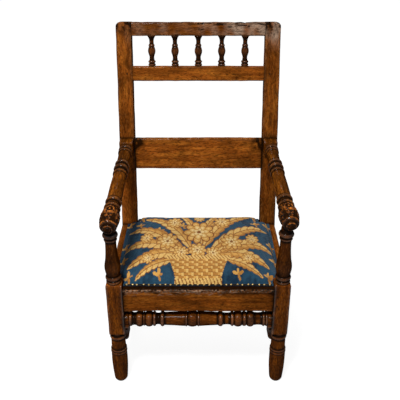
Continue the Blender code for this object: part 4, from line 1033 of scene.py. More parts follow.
def carve_grip(one, start):
    """Cuts leaves and an oval boss into the grip of a turned arm."""
    corners = one["corners"]
    along = (-corners[:, 2] - start) / GRIP_LENGTH
    turn = np.arctan2(corners[:, 0], -corners[:, 1])
    radius = np.hypot(corners[:, 0], corners[:, 1])
    rear_leaves = leaf_row((along - 0.02) / 0.58, turn, 5, 0.0)
    front_leaves = leaf_row((along - 0.46) / 0.60, turn, 5, 0.5)
    leaves = np.maximum(rear_leaves, front_leaves)
    on_grip = smooth_step(along, 0.0, 0.08) * (1.0 - smooth_step(along, 0.98, 1.08))
    depth = -GROUND_DEPTH * (1.0 - leaves) * on_grip
    oval = np.hypot((along - 0.33) * GRIP_LENGTH / 0.0150, turn * radius / 0.0110)
    boss = BOSS_HEIGHT * np.sqrt(np.clip(1.0 - (oval / BOSS_SHARE) ** 2, 0.0, 1.0))
    hollowed = -HOLLOW_DEPTH * (1.0 - smooth_step(oval, 0.80, 1.02)) + boss
    rim = 0.0008 * np.exp(-(((oval - 1.14) / 0.12) ** 2))
    near = 1.0 - smooth_step(oval, 1.15, 1.45)
    depth = depth * (1.0 - near) + (hollowed + rim) * near
    depth += 0.0004 * ripple(corners, 0.008, 77) * on_grip
    one["corners"] = corners.copy()
    one["corners"][:, :2] *= ((radius + depth) / np.maximum(radius, 1e-6))[:, None]
    # The carving is darker in its recesses and in random lumps.
    carved_recess_darkening = np.clip(-depth / 0.0020, 0.0, 1.0) * on_grip
    lumps = ripple(corners, 0.0075, 79)
    held, tip = smooth_step(along, 0.0, 0.08), smooth_step(along, 0.98, 1.08)
    one["tone"] = 1.0 + held * (1.5 + 1.4 * lumps) + 1.6 * (oval < 0.42)
    carved_recess_darkening = np.maximum(carved_recess_darkening, 0.8 * held * smooth_step(-lumps, 0.05, 0.55) * (oval > 0.5))
    grime = one["grime"] * (1.0 - 0.5 * on_grip) + 0.95 * carved_recess_darkening
    stained = 0.30 * (1.0 - held) * smooth_step(ripple(corners * (1.0, 1.0, 0.22), 0.009, 181), -0.4, 0.9)
    one["grime"] = np.clip(np.maximum(grime, stained), 0.0, MOST_GRIME_AND_SHADE)
    rubbed_and_highlit = on_grip * np.clip(1.0 + depth / 0.0012, 0.0, 1.0) * 0.4
    one["wear"] = np.clip(one["wear"] * (1.0 - 0.5 * tip) + rubbed_and_highlit, 0.0, 1.2)
    return one


for side, side_name in SIDES.items():
    place, reach = arm_lie(side)
    length = reach - ARM_BLOCK + ARM_INTO_BLOCK
    shaft = turned(f"arm_{side_name}", *outline(ARM, length), 112, HANDLED_WALNUT, 0.005)
    shaft = carve_grip(shaft, length - GRIP_LENGTH - GRIP_END)
    shaft = placed(shaft, place @ Matrix.Translation((0.0, 0.0, ARM_INTO_BLOCK - ARM_BLOCK)))
    towards_post = back_place.to_3x3() @ Vector((0.0, 1.0, 0.0))
    rear_row, front_row = [], []
    for x, y in ((-1, -1), (1, -1), (1, 1), (-1, 1)):
        start = place @ Vector((x * ARM_BLOCK_HALF, y * ARM_BLOCK_HALF, -ARM_BLOCK))
        along = place.to_3x3() @ Vector((0.0, 0.0, 1.0))
        gap = (place.translation - start).dot(towards_post) - FIT_GAP
        front_row.append(tuple(start))
        rear_row.append(tuple(start + along * gap / along.dot(towards_post)))
    block = plank([front_row, rear_row], 0.0030, 170 + side, 0.003, 9, 9)
    skins = [hand_worn(block, 0.0006, 0.03, 172 + side), shaft]
    nodes = [f"arm_{side_name}"]
    made = wooden_piece(f"old_{nodes[0]}", skins, ARM_TONES[side], HANDLED_WALNUT, nodes)
    print(made.name, len(made.data.polygons), "faces")

# %% [markdown]
# ## A row of spindles
# Five small spindles stand between the two upper rails. They are turned alike but never quite the
# same, so one is made on the lathe and Geometry Nodes sets it out along a line, each turned by a
# random angle and stretched a little, from a fixed seed.


# %% Tree for a row of turned pieces
FULL_TURN = 6.28


def random_vector(tree, low, high, seed):
    """A random vector for each point, from the tree's own seed."""
    inputs = {0: low, 1: high, "Seed": seed}
    return add_node(tree, "FunctionNodeRandomValue", inputs, data_type="FLOAT_VECTOR").outputs[0]


def row_of_points(tree, given):
    inputs = {"Count": given["Count"], "Start Location": given["Start"], "Offset": given["Spacing"]}
    return add_node(tree, "GeometryNodeMeshLine", inputs).outputs[0]


def set_out(tree, points, instance, rotation, scale):
    """One copy of an instance on each point."""
    inputs = {"Points": points, "Instance": instance, "Rotation": rotation, "Scale": scale}
    return add_node(tree, "GeometryNodeInstanceOnPoints", inputs).outputs[0]


def row_tree():
    inputs = {"Count": "NodeSocketInt", "Spacing": "NodeSocketVector", "Start": "NodeSocketVector"}
    inputs.update({"Seed": "NodeSocketInt", "Finish": "NodeSocketMaterial"})
    tree, named, given = new_tree("row_of_spindles", inputs)
    turn = random_vector(tree, (0.0, 0.0, 0.0), (0.0, 0.0, FULL_TURN), given["Seed"])
    stretch = random_vector(tree, (0.97, 0.97, 1.0), (1.03, 1.03, 1.0), given["Seed"])
    stand = set_out(tree, row_of_points(tree, given), given["Geometry"], turn, stretch)
    number = add_node(tree, "GeometryNodeInputIndex", {})
    inputs = {"Geometry": stand, "Name": "number", "Value": number.outputs[0]}
    mark = add_node(tree, "GeometryNodeStoreNamedAttribute", inputs, data_type="FLOAT", domain="INSTANCE")
    add_node(tree, "NodeGroupOutput", {0: made_real(tree, mark.outputs[0], given["Finish"])})
    return tree, named


ROW, ROW_INPUTS = row_tree()
print("row tree inputs", list(ROW_INPUTS))

# %% [markdown]
# ## Standing the spindles in the back
# The row is laid out in the plane of the back, then moved into place in its mesh. Each spindle gets
# its own stretch of timber, so the grain differs from one to the next.


# %% Spindles
def read_attribute(mesh, name, width=1):
    values = np.empty(len(mesh.vertices) * width)
    mesh.attributes[name].data.foreach_get("vector" if width == 3 else "value", values)
    return values.reshape(-1, 3) if width == 3 else values


SPINDLE = [
    swell(17, 13.6, 8.9, 7.3), taper(8, 7.3, 7.3), swell(9, 7.4, 10.0, 9.9), hollow(2, 9.0, 0.6),
    swell(None, 9.8, 12.7, 9.4), swell(6, 9.2, 8.6, 7.8), taper(11, 7.8, 9.0), bead(8, 12.7, 3.2),
    hollow(2, 10.2, 0.6), bead(9, 12.7, 3.2),
]
SPINDLE_COUNT, SPINDLE_SPACING, SPINDLE_DEPTH, SPINDLE_TONE = 5, 0.0787, 0.015, 0.38
spindle_length = CREST[0] - sum(SPINDLE_RAIL) - 2 * FIT_GAP
one = turned("spindle", *outline(SPINDLE, spindle_length, 0.0006), 32, DARK_AND_SHADED_WALNUT, 0.008)
mesh = bpy.data.meshes.new("spindles")
mesh.from_pydata(one["corners"].tolist(), [], one["faces"])
outward(mesh)
for key in ("wear", "grime"):
    set_attribute(mesh, key, "FLOAT", one[key])
set_attribute(mesh, "timber", "FLOAT_VECTOR", one["timber"])
set_attribute(mesh, "tone", "FLOAT", np.full(len(mesh.vertices), SPINDLE_TONE))
set_attribute(mesh, "bleach", "FLOAT", np.zeros(len(mesh.vertices)))
spindles = new_object("old_spindles", mesh)
row = spindles.modifiers.new("row", "NODES")
row.node_group = ROW
row[ROW_INPUTS["Count"]] = SPINDLE_COUNT
row[ROW_INPUTS["Spacing"]] = (SPINDLE_SPACING, 0.0, 0.0)
row[ROW_INPUTS["Start"]] = (-2 * SPINDLE_SPACING, SPINDLE_DEPTH, CREST[0] - FIT_GAP)
row[ROW_INPUTS["Seed"]] = 3
row[ROW_INPUTS["Finish"]] = DARK_AND_SHADED_WALNUT
corners = plain_result(spindles)
turn, shift = np.array(back_place.to_3x3()), np.array(back_place.translation)
spindles.data.vertices.foreach_set("co", (corners @ turn.T + shift + JOINER_START).ravel())
number = read_attribute(spindles.data, "number")
timber = read_attribute(spindles.data, "timber", 3) + number[:, None] * (0.37, 0.19, 0.53)
spindles.data.attributes["timber"].data.foreach_set("vector", timber.astype(np.float32).ravel())
spindles.data.shade_smooth()
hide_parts(*[f"spindle_{i}" for i in range(1, 6)])
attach(spindles, "root")
wooden_pieces.append(spindles)
print("spindles:", len(spindles.data.polygons), "faces, box", spindles.dimensions[:])

# %% [markdown]
# ## Pegs
# Every tenon is locked by a wooden peg, cleft with a knife and so not quite round, which stands a
# hair proud of the post. There are twenty-two of them, and they face several ways: Geometry Nodes sets
# one peg on each point, and turns it to face the way that the point says.


# %% Tree for pegs
PEG_LENGTH, PEG_PROUD = 0.010, 0.0006


def peg_tree():
    tree, named, given = new_tree("pegs", {"Seed": "NodeSocketInt", "Finish": "NodeSocketMaterial"})
    facing = add_node(tree, "GeometryNodeInputNamedAttribute", {"Name": "facing"}, data_type="FLOAT_VECTOR")
    aim = add_node(tree, "FunctionNodeAlignRotationToVector", {"Vector": facing.outputs[0]}, axis="Z")
    inputs = {"Vertices": 8, "Side Segments": 6, "Fill Segments": 2}
    inputs.update({"Radius Top": 0.0032, "Radius Bottom": 0.0038, "Depth": PEG_LENGTH})
    stub = add_node(tree, "GeometryNodeMeshCone", inputs).outputs["Mesh"]
    inputs = {"Geometry": stub, "Translation": (0.0, 0.0, PEG_PROUD - PEG_LENGTH)}
    lower = add_node(tree, "GeometryNodeTransform", inputs)
    size = random_vector(tree, (0.90, 0.94, 0.97), (1.08, 1.04, 1.03), given["Seed"])
    drive = set_out(tree, given["Geometry"], lower.outputs[0], aim.outputs[0], size)
    add_node(tree, "NodeGroupOutput", {0: made_real(tree, drive, given["Finish"])})
    return tree, named


PEGS, PEG_INPUTS = peg_tree()
print("peg tree inputs", list(PEG_INPUTS))

# %% [markdown]
# ## Where the pegs go
# The pegs of the back lie in its leaning plane, the others in the joiner's frame. Their places follow
# from the tenons that they lock, as in the solids.


# %% Pegs
PEG_INSET, DEEP_INSET = 0.008, 0.018  # from the shoulder of the tenon
SIDE_RAIL_MIDDLE, REAR_RAIL_MIDDLE, STRETCHER_MIDDLE = 0.341, 0.3435, 0.248
PEG_TONE, PEG_GRIME = 0.75, 0.25
FORWARD, BACKWARD = Vector((0.0, -1.0, 0.0)), Vector((0.0, 1.0, 0.0))
peg_places = []
back_turn = back_place.to_3x3()
for side in SIDES:
    sideways, in_leg = Vector((side, 0.0, 0.0)), side * (RAIL_HALF + PEG_INSET)
    for foot, tall in (CREST, SPINDLE_RAIL):
        rise = foot + tall / 2
        head = back_place @ Vector((side * (post_inner(rise) + DEEP_INSET), 0.0, rise))
        peg_places.append((head, back_turn @ FORWARD))
    for share in (0.28, 0.72):
        rise = BACK_RAIL[0] + BACK_RAIL[1] * share
        head = back_place @ Vector((side * (post_inner(rise) + PEG_INSET), POST_DEPTH, rise))
        peg_places.append((head, back_turn @ BACKWARD))
        peg_places.append((Vector((in_leg, 0.0, RAIL_FOOT + (SEAT_HEIGHT - RAIL_FOOT) * share)), FORWARD))
    leg_face = side * (LEG_AXIS[0] + LEG_SIDE / 2)
    peg_places.append((Vector((leg_face, LEG_SIDE - PEG_INSET, SIDE_RAIL_MIDDLE)), sideways))
    peg_places.append((Vector((side * POST_OUTSIDE, SEAT_DEPTH + PEG_INSET, SIDE_RAIL_MIDDLE)), sideways))
    rear = Vector((side * (post_inner(0.0) + PEG_INSET), SEAT_DEPTH + POST_DEPTH, REAR_RAIL_MIDDLE))
    peg_places.append((rear, BACKWARD))
    peg_places.append((Vector((in_leg, 0.0, STRETCHER_MIDDLE)), FORWARD))
    head = back_place @ Vector((side * post_outer(ARM_ON_POST), 0.012, ARM_ON_POST))
    peg_places.append((head, sideways))

mesh = bpy.data.meshes.new("pegs")
mesh.from_pydata([tuple(np.array(head) + JOINER_START) for head, _ in peg_places], [], [])
set_attribute(mesh, "facing", "FLOAT_VECTOR", np.array([tuple(facing) for _, facing in peg_places]))
pegs = new_object("old_pegs", mesh)
drive = pegs.modifiers.new("pegs", "NODES")
drive.node_group = PEGS
drive[PEG_INPUTS["Seed"]] = 11
PEG_WOOD = walnut(
    "peg_oak", (0.040, 0.0115, 0.0025), (0.120, 0.0360, 0.0070), (0.220, 0.0800, 0.0190), 0.50, 0.04
)
drive[PEG_INPUTS["Finish"]] = PEG_WOOD
corners = plain_result(pegs)
set_attribute(pegs.data, "timber", "FLOAT_VECTOR", corners[:, [0, 2, 1]])
for key, value in {"tone": PEG_TONE, "wear": 0.0, "grime": PEG_GRIME, "bleach": 0.0}.items():
    set_attribute(pegs.data, key, "FLOAT", np.full(len(corners), value))
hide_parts(*[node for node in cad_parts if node.startswith("peg_")])
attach(pegs, "root")
print(len(peg_places), "pegs,", len(pegs.data.polygons), "faces")

# %% [markdown]
# ## Grime and painted shade where pieces meet
# Dust and old wax gather in the corner between two pieces, and the shade that falls there is painted in
# too. A finish can't see its neighbours, so each corner of a piece that lies close to another piece is
# found once with a search tree, and the nearer it is, the more grime and painted shade it carries.


# %% Grime and painted shade at the joints
GRIME_AND_SHADE_REACH, GRIME_AND_SHADE_FADES = 0.018, 0.0062
JOINT_GRIME_AND_SHADE, CLEAN_JOINT_GRIME_AND_SHADE = 0.95, 0.32
CLEAN_JOINTS = {"old_crest_rail", "old_spindle_rail"}
trees, boxes = {}, {}
for piece in wooden_pieces:
    corners = corners_of(piece.data)
    faces = [face.vertices[:] for face in piece.data.polygons]
    trees[piece.name] = BVHTree.FromPolygons(corners.tolist(), faces)
    boxes[piece.name] = (corners.min(axis=0) - GRIME_AND_SHADE_REACH, corners.max(axis=0) + GRIME_AND_SHADE_REACH)
for piece in wooden_pieces:
    corners = corners_of(piece.data)
    gathered = np.zeros(len(corners))
    for name, tree in trees.items():
        if name == piece.name:
            continue
        share = CLEAN_JOINT_GRIME_AND_SHADE if CLEAN_JOINTS & {name, piece.name} else JOINT_GRIME_AND_SHADE
        low, high = boxes[name]
        for i in np.nonzero(((corners > low) & (corners < high)).all(axis=1))[0]:
            distance = tree.find_nearest(corners[i].tolist(), GRIME_AND_SHADE_REACH)[3]
            if distance is not None:
                gathered[i] = max(gathered[i], share * math.exp(-distance / GRIME_AND_SHADE_FADES))
    grime = np.clip(read_attribute(piece.data, "grime") + gathered, 0.0, 1.0)
    piece.data.attributes["grime"].data.foreach_set("value", grime.astype(np.float32))
print("grime gathered on", len(wooden_pieces), "wooden pieces")

# %% [markdown]
# ## The seat's outline
# The seat is nailed over the four rails: it fills the space between the front legs, widens over the
# side rails and narrows again between the posts. Its outline is a list of corners, walked round in
# short steps.

# %% Seat outline
BETWEEN_LEGS, SEAT_HALF, BETWEEN_POSTS = 0.234, 0.2615, 0.225
SEAT_FRONT, SEAT_NOTCH, SEAT_SHOULDER, SEAT_BACK = 0.026, 0.051, 0.419, 0.457
SEAT_MIDDLE = np.array([0.0, (SEAT_FRONT + SEAT_BACK) / 2])
right_half = [
    (BETWEEN_LEGS, SEAT_FRONT), (BETWEEN_LEGS, SEAT_NOTCH), (SEAT_HALF, SEAT_NOTCH),
    (SEAT_HALF, SEAT_SHOULDER), (BETWEEN_POSTS, SEAT_SHOULDER), (BETWEEN_POSTS, SEAT_BACK),
]
seat_corners = np.array(right_half + [(-x, y) for x, y in reversed(right_half)])


def walk(corners, spacing):
    """Points along a closed outline, no further apart than a spacing."""
    points = []
    for start, end in zip(corners, np.roll(corners, -1, axis=0)):
        steps = max(1, math.ceil(np.linalg.norm(end - start) / spacing))
        points += [start + (end - start) * i / steps for i in range(steps)]
    return np.array(points)


seat_points = walk(seat_corners, 0.010)
print("seat outline of", len(seat_points), "points")

# %% [markdown]
# ## Stuffing, swollen by a cloth simulation
# Under the cover lies a pad of horsehair. It could be a smooth dome, but real stuffing bulges against
# the cloth that holds it. So a slightly flatter dome is made, rebuilt in even small faces, and given
# a cloth simulation with pressure inside and its foot pinned. How far a point may move is capped, and
# the result is kept as a plain mesh.


# %% Stuffing
STUFFING_FOOT, PAD_SHARE, CROWN, MOST_SWELLING = 0.3794, 0.935, 0.019, 0.0045
VOXEL, PRESSURE, FRAMES = 0.006, 4.0, 20
DOME = [(1.0, 0.0), (0.985, 0.20), (0.95, 0.40), (0.88, 0.60), (0.74, 0.80), (0.46, 0.95), (0.20, 0.99)]


def dome_piece(name, crown):
    rings = [(PAD_SHARE * 0.985, STUFFING_FOOT), (PAD_SHARE, STUFFING_FOOT + 0.0035)]
    rings += [(PAD_SHARE * share, STUFFING_FOOT + 0.007 + crown * rise) for share, rise in DOME]
    rows = []
    for share, height in rings:
        flat = SEAT_MIDDLE + (seat_points - SEAT_MIDDLE) * share
        rows.append(np.column_stack([flat, np.full(len(flat), height)]))
    ends = np.array([[*SEAT_MIDDLE, rings[0][1]], [*SEAT_MIDDLE, rings[-1][1]]])
    corners = np.concatenate([*rows, ends]) + JOINER_START
    mesh = bpy.data.meshes.new(name)
    mesh.from_pydata(corners.tolist(), [], tube_faces(len(rows), len(seat_points)))
    outward(mesh)
    piece = new_object(name, mesh)
    voxels = piece.modifiers.new("even_faces", "REMESH")
    voxels.mode, voxels.voxel_size = "VOXEL", VOXEL
    return piece, plain_result(piece)


def swell_pad(piece, rest, cap):
    """Blows the pad up with a cloth simulation, and caps how far each corner moves."""
    scene = bpy.context.scene
    foot = piece.vertex_groups.new(name="foot")
    foot.add(np.nonzero(rest[:, 2] < STUFFING_FOOT + 0.003)[0].tolist(), 1.0, "REPLACE")
    cloth = piece.modifiers.new("stuffing", "CLOTH")
    cloth.settings.use_pressure = True
    cloth.settings.uniform_pressure_force = PRESSURE
    cloth.settings.effector_weights.gravity = 0.0
    cloth.settings.vertex_group_mass = "foot"
    cloth.settings.quality = 4
    cloth.collision_settings.use_collision = False
    for number in range(1, FRAMES + 1):
        scene.frame_set(number)
    swollen = plain_result(piece)
    scene.frame_set(1)
    move = swollen - rest
    distance = np.linalg.norm(move, axis=1)
    move *= np.minimum(1.0, cap / np.maximum(distance, 1e-9))[:, None]
    print("stuffing moved up to", round(float(distance.max()) * 1000, 1), "mm, capped at", cap * 1000)
    return rest + move


stuffing, pad_corners = dome_piece("horsehair_stuffing", CROWN)
pad_corners = swell_pad(stuffing, pad_corners, MOST_SWELLING)
stuffing.data.vertices.foreach_set("co", pad_corners.ravel())
stuffing.data.update()
print("stuffing:", len(stuffing.data.polygons), "faces, top", round(float(pad_corners[:, 2].max()), 4))

# %% [markdown]
# ## Horsehair, hessian and webbing finishes
# The layers under the cover show only from below and at an edge, but each is its own stuff: tangled
# dark hair, coarse jute cloth, and tightly woven strips with a stripe along their edges.


# %% Finishes under the cover
def woven(name, dark, light, pitch):
    """A plain weave in the plane of the seat, with slubs."""
    kit = Finish(name)
    place = kit.place()
    x, y, _ = kit.split(place)
    weave = kit.times(kit.wave(x, pitch), kit.wave(y, pitch))
    slubs = kit.noise(place, 4.0, 0.6, 0.2, 160.0)
    level = kit.plus(kit.times(weave, 0.22), slubs)
    colour = kit.ramp(level, [(0.25, dark), (0.80, light)])
    rough = kit.spread(slubs, 0.3, 0.7, 0.85, 0.98)
    return kit.surface(Base_Color=colour, Roughness=rough, Normal=kit.bump(level, 0.0006), Sheen_Weight=0.15)


def horsehair():
    kit = Finish("horsehair")
    hair = kit.noise(kit.stretch(kit.place(), (900.0, 160.0, 500.0)), 5.0, 0.7, 2.5)
    colour = kit.ramp(hair, [(0.35, (0.020, 0.014, 0.010)), (0.70, (0.150, 0.110, 0.080))])
    rough = kit.spread(hair, 0.3, 0.7, 0.6, 0.9)
    return kit.surface(Base_Color=colour, Roughness=rough, Normal=kit.bump(hair, 0.0012))


stuffing.data.materials.append(horsehair())
stuffing.data.shade_smooth()
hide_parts("seat_stuffing")
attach(stuffing, "root")
HESSIAN = woven("hessian", (0.16, 0.10, 0.05), (0.42, 0.30, 0.17), 0.0022)
JUTE = woven("jute_webbing", (0.22, 0.15, 0.08), (0.50, 0.38, 0.22), 0.0013)
print("finishes under the cover:", HESSIAN.name, JUTE.name)

# %% [markdown]
# ## Hessian and webbing
# Strips of webbing are woven over and under each other across the frame, and a coarse cloth lies on
# them. The strips repeat, so Geometry Nodes lays out both directions on a line of points, and then
# lifts and lowers them where they cross.


# %% Webbing tree
STRIP_WIDTH, STRIP_THICKNESS, STRIP_LIFT, STRIP_MESH = 0.050, 0.0007, 0.0006, 0.006
STRIP_LENGTH, STRIP_SPAN, WEBBING_HEIGHT = 0.396, 0.480, 0.37668
MERGE_DISTANCE = 0.00001


def strip_set(tree, count, start, step, size):
    """A row of flat strips, each a fine grid."""
    line = add_node(tree, "GeometryNodeMeshLine", {"Count": count, "Start Location": start, "Offset": step})
    inputs = {"Size X": size[0], "Size Y": size[1]}
    inputs.update({f"Vertices {axis}": max(4, int(side / STRIP_MESH)) for axis, side in zip("XY", size)})
    sheet = add_node(tree, "GeometryNodeMeshGrid", inputs)
    inputs = {"Points": line.outputs[0], "Instance": sheet.outputs[0]}
    lay = add_node(tree, "GeometryNodeInstanceOnPoints", inputs)
    return add_node(tree, "GeometryNodeRealizeInstances", {0: lay.outputs[0]}).outputs[0]


def worked_out(tree, operation, *values):
    return add_node(tree, "ShaderNodeMath", dict(enumerate(values)), operation=operation).outputs[0]


def wave_of(tree, value, spacing, shift):
    turn = worked_out(tree, "SUBTRACT", value, shift)
    return worked_out(tree, "COSINE", worked_out(tree, "MULTIPLY", turn, math.pi / spacing))


def joined(tree, *parts):
    both = tree.nodes.new("GeometryNodeJoinGeometry")
    for part in parts:
        tree.links.new(part, both.inputs[0])
    return both.outputs[0]


def webbing_tree(x_step, y_step):
    tree, named, given = new_tree("webbing", {"Height": "NodeSocketFloat", "Finish": "NodeSocketMaterial"})
    x_start, middle = -1.5 * x_step, float(SEAT_MIDDLE[1])
    y_start = middle - y_step
    along, across = (STRIP_WIDTH, STRIP_LENGTH), (STRIP_SPAN, STRIP_WIDTH)
    lengthwise = strip_set(tree, 4, (x_start, middle, 0.0), (x_step, 0.0, 0.0), along)
    crosswise = strip_set(tree, 3, (0.0, y_start, 0.0), (0.0, y_step, 0.0), across)
    parts = []
    for strips, sign in ((lengthwise, 1.0), (crosswise, -1.0)):
        place = add_node(tree, "GeometryNodeInputPosition", {}).outputs[0]
        x, y, _ = add_node(tree, "ShaderNodeSeparateXYZ", {0: place}).outputs
        waves = wave_of(tree, x, x_step, x_start), wave_of(tree, y, y_step, y_start)
        lift = worked_out(tree, "MULTIPLY", worked_out(tree, "MULTIPLY", *waves), STRIP_LIFT * sign)
        rise = worked_out(tree, "ADD", lift, given["Height"])
        offset = add_node(tree, "ShaderNodeCombineXYZ", {2: rise}).outputs[0]
        inputs = {"Geometry": strips, "Offset": offset}
        parts.append(add_node(tree, "GeometryNodeSetPosition", inputs).outputs[0])
    both = joined(tree, *parts)
    inputs = {"Mesh": both, "Offset Scale": STRIP_THICKNESS, "Individual": False}
    thick = add_node(tree, "GeometryNodeExtrudeMesh", inputs)
    flip = add_node(tree, "GeometryNodeFlipFaces", {0: both})
    inputs = {"Geometry": joined(tree, thick.outputs[0], flip.outputs[0]), "Distance": MERGE_DISTANCE}
    merged = add_node(tree, "GeometryNodeMergeByDistance", inputs)
    add_node(tree, "NodeGroupOutput", {0: made_real(tree, merged.outputs[0], given["Finish"])})
    return tree, named


WEBBING, WEBBING_INPUTS = webbing_tree(0.1035, 0.113)
webbing = new_object("old_webbing", bpy.data.meshes.new("webbing"))
weave = webbing.modifiers.new("webbing", "NODES")
weave.node_group = WEBBING
weave[WEBBING_INPUTS["Height"]] = WEBBING_HEIGHT
weave[WEBBING_INPUTS["Finish"]] = JUTE
corners = plain_result(webbing)
webbing.data.vertices.foreach_set("co", (corners + JOINER_START).ravel())
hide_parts("seat_webbing")
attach(webbing, "root")
print("webbing:", len(webbing.data.polygons), "faces")

# %% [markdown]
# ## A grid for cloth
# Needlework is made on canvas, one stitch in each square of a grid, so the cover is a grid whose
# faces are the stitches. The grid's lines pass through the corners of the outline, and only the
# squares inside it are kept. The same helper cuts the hessian, with larger squares.


# %% Canvas grid
def grid_lines(marks, pitch):
    lines = [marks[0]]
    for start, end in zip(marks, marks[1:]):
        steps = max(1, round((end - start) / pitch))
        lines += [start + (end - start) * (i + 1) / steps for i in range(steps)]
    return np.array(lines)


def canvas(pitch, share=1.0):
    """Corners (x, y), faces and square numbers of a cloth cut to the seat's outline."""
    marks_x = [-SEAT_HALF, -BETWEEN_LEGS, -BETWEEN_POSTS, BETWEEN_POSTS, BETWEEN_LEGS, SEAT_HALF]
    xs = grid_lines(marks_x, pitch)
    ys = grid_lines([SEAT_FRONT, SEAT_NOTCH, SEAT_SHOULDER, SEAT_BACK], pitch)
    mid_x, mid_y = np.meshgrid((xs[1:] + xs[:-1]) / 2, (ys[1:] + ys[:-1]) / 2, indexing="ij")
    wide = (mid_y > SEAT_NOTCH) & (mid_y < SEAT_SHOULDER)
    kept = wide | ((mid_y < SEAT_NOTCH) & (np.abs(mid_x) < BETWEEN_LEGS))
    kept |= (mid_y > SEAT_SHOULDER) & (np.abs(mid_x) < BETWEEN_POSTS)
    columns, rows = np.nonzero(kept)
    corner, column = columns * len(ys) + rows, len(ys)
    faces = np.stack([corner, corner + column, corner + column + 1, corner + 1], axis=1)
    used, flat = np.unique(faces, return_inverse=True)
    points = np.column_stack([xs[used // len(ys)], ys[used % len(ys)]])
    points = SEAT_MIDDLE + (points - SEAT_MIDDLE) * share
    return points, flat.reshape(-1, 4), np.column_stack([columns, rows])


def lying(points):
    """Flat points (x, y) as points in space, for the noise."""
    return np.column_stack([points, points[:, 0] * 0])


def thickened(piece, thickness, offset):
    """Gives a cloth its thickness, as a plain mesh."""
    wall = piece.modifiers.new("cloth_thickness", "SOLIDIFY")
    wall.thickness, wall.offset = thickness, offset
    plain_result(piece)


HESSIAN_SQUARE, HESSIAN_SHARE, HESSIAN_HEIGHT, HESSIAN_THICKNESS = 0.012, 0.92, 0.3784, 0.0006
points, faces, _ = canvas(HESSIAN_SQUARE, HESSIAN_SHARE)
mesh = bpy.data.meshes.new("hessian")
height = HESSIAN_HEIGHT + 0.0002 * ripple(lying(points), 0.05, 8)
mesh.from_pydata((np.column_stack([points, height]) + JOINER_START).tolist(), [], faces.tolist())
base_cloth = new_object("old_hessian", mesh)
thickened(base_cloth, HESSIAN_THICKNESS, 1.0)
base_cloth.data.materials.append(HESSIAN)
base_cloth.data.shade_smooth()
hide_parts("seat_base_cloth")
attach(base_cloth, "root")

# %% [markdown]
# ## Laying the cover over the stuffing
# The cover takes its height from the swollen stuffing below each corner of the canvas, found by
# looking straight down, and lies flat on the rails beyond the pad. A little smoothing lets it span
# the edge as stretched cloth does, and shallow puckers run back from the nails.

# %% Cover shape
STITCH, FLANGE = 0.0024, 0.3780  # one stitch, and the height of the cover on the rails
OVER_PAD, LEAST_OVER_PAD, NAIL_PITCH = 0.0022, 0.0019, 0.0174
points, faces, squares = canvas(STITCH)
pad_tree = BVHTree.FromObject(stuffing, bpy.context.evaluated_depsgraph_get())
under = np.full(len(points), FLANGE - OVER_PAD)
for i, (x, y) in enumerate(points):
    start = Vector((x + JOINER_START[0], y + JOINER_START[1], 0.6))
    hit = pad_tree.ray_cast(start, Vector((0.0, 0.0, -1.0)))[0]
    if hit is not None:
        under[i] = hit.z
links = np.concatenate([faces[:, [0, 1]], faces[:, [1, 2]], faces[:, [2, 3]], faces[:, [3, 0]]])
for _ in range(2):
    spread_up = under.copy()
    np.maximum.at(spread_up, links[:, 0], under[links[:, 1]])
    np.maximum.at(spread_up, links[:, 1], under[links[:, 0]])
    under = spread_up
height = np.maximum(under + OVER_PAD, FLANGE)
lowest = np.maximum(under + LEAST_OVER_PAD, FLANGE)
neighbours = np.bincount(links.ravel(), minlength=len(points)).astype(float)
for _ in range(14):
    total = np.bincount(links[:, 0], height[links[:, 1]], len(points))
    total += np.bincount(links[:, 1], height[links[:, 0]], len(points))
    height = np.maximum(0.5 * height + 0.5 * total / neighbours, lowest)
from_front = points[:, 1] - SEAT_FRONT
pucker = np.cos(2 * math.pi * points[:, 0] / NAIL_PITCH) * np.exp(-(((from_front - 0.020) / 0.012) ** 2))
height += 0.0005 * pucker + 0.0004 * ripple(lying(points), 0.05, 21)
under_strip = 1.0 - smooth_step(from_front, 0.0066, 0.0092)
height += (FLANGE + 0.0002 - height) * under_strip
cover_corners = np.column_stack([points, height])
print("cover:", len(points), "corners,", len(faces), "stitches, top", round(float(height.max()), 4))

# %% [markdown]
# ## Drawing for the needlework
# Old seat covers often show a basket of flowers between large curling leaves on a blue ground. This
# one is a plain design of that common kind, in blue, gold and cream wools. It is drawn only with
# simple shapes: a leaf is a bent line with a width, and a petal is an oval. Every stitch asks which
# shape it lies in, so edges come out in whole stitches, as on canvas. A seat is seen at a slant, so
# embroiderers drew the figures tall: here all heights are stretched by the same share.

# %% Colours of the wools
def wool(red, green, blue):
    """A colour as the eye reads it, 0 to 255, turned into the shader's linear scale."""
    share = np.array([red, green, blue]) / 255.0
    return np.where(share <= 0.04045, share / 12.92, ((share + 0.055) / 1.055) ** 2.4)


BLUE, DEEP_BLUE = wool(36, 66, 86), wool(22, 44, 62)
GOLD, PALE_GOLD, CREAM = wool(196, 146, 74), wool(208, 168, 98), wool(218, 190, 132)
TAN, BROWN = wool(168, 116, 54), wool(128, 79, 38)
TALL = 1.4
stitch_at = cover_corners[faces].mean(axis=1)
drawn_at = np.column_stack([stitch_at[:, 0], (stitch_at[:, 1] - SEAT_FRONT) / TALL])
across, up = drawn_at.T
print(len(stitch_at), "stitches to colour, in a drawing", drawn_at.max(axis=0).round(3), "m large")

# %% [markdown]
# ## Leaves, petals and sprigs
# Each shape gives how deep a stitch lies inside it: 0 on its rim, 1 on its middle. A rim of brown, a
# body of gold and a pale side model the form, as embroiderers shade from dark to light.


# %% Shapes of the drawing
def oval(middle, half_long, half_wide, angle):
    x, y = (drawn_at - middle).T
    cosine, sine = math.cos(angle), math.sin(angle)
    return 1.0 - np.hypot((x * cosine + y * sine) / half_long, (y * cosine - x * sine) / half_wide)


def paint(mask, colour):
    colours[mask] = colour


LEAF_RUNS = 32


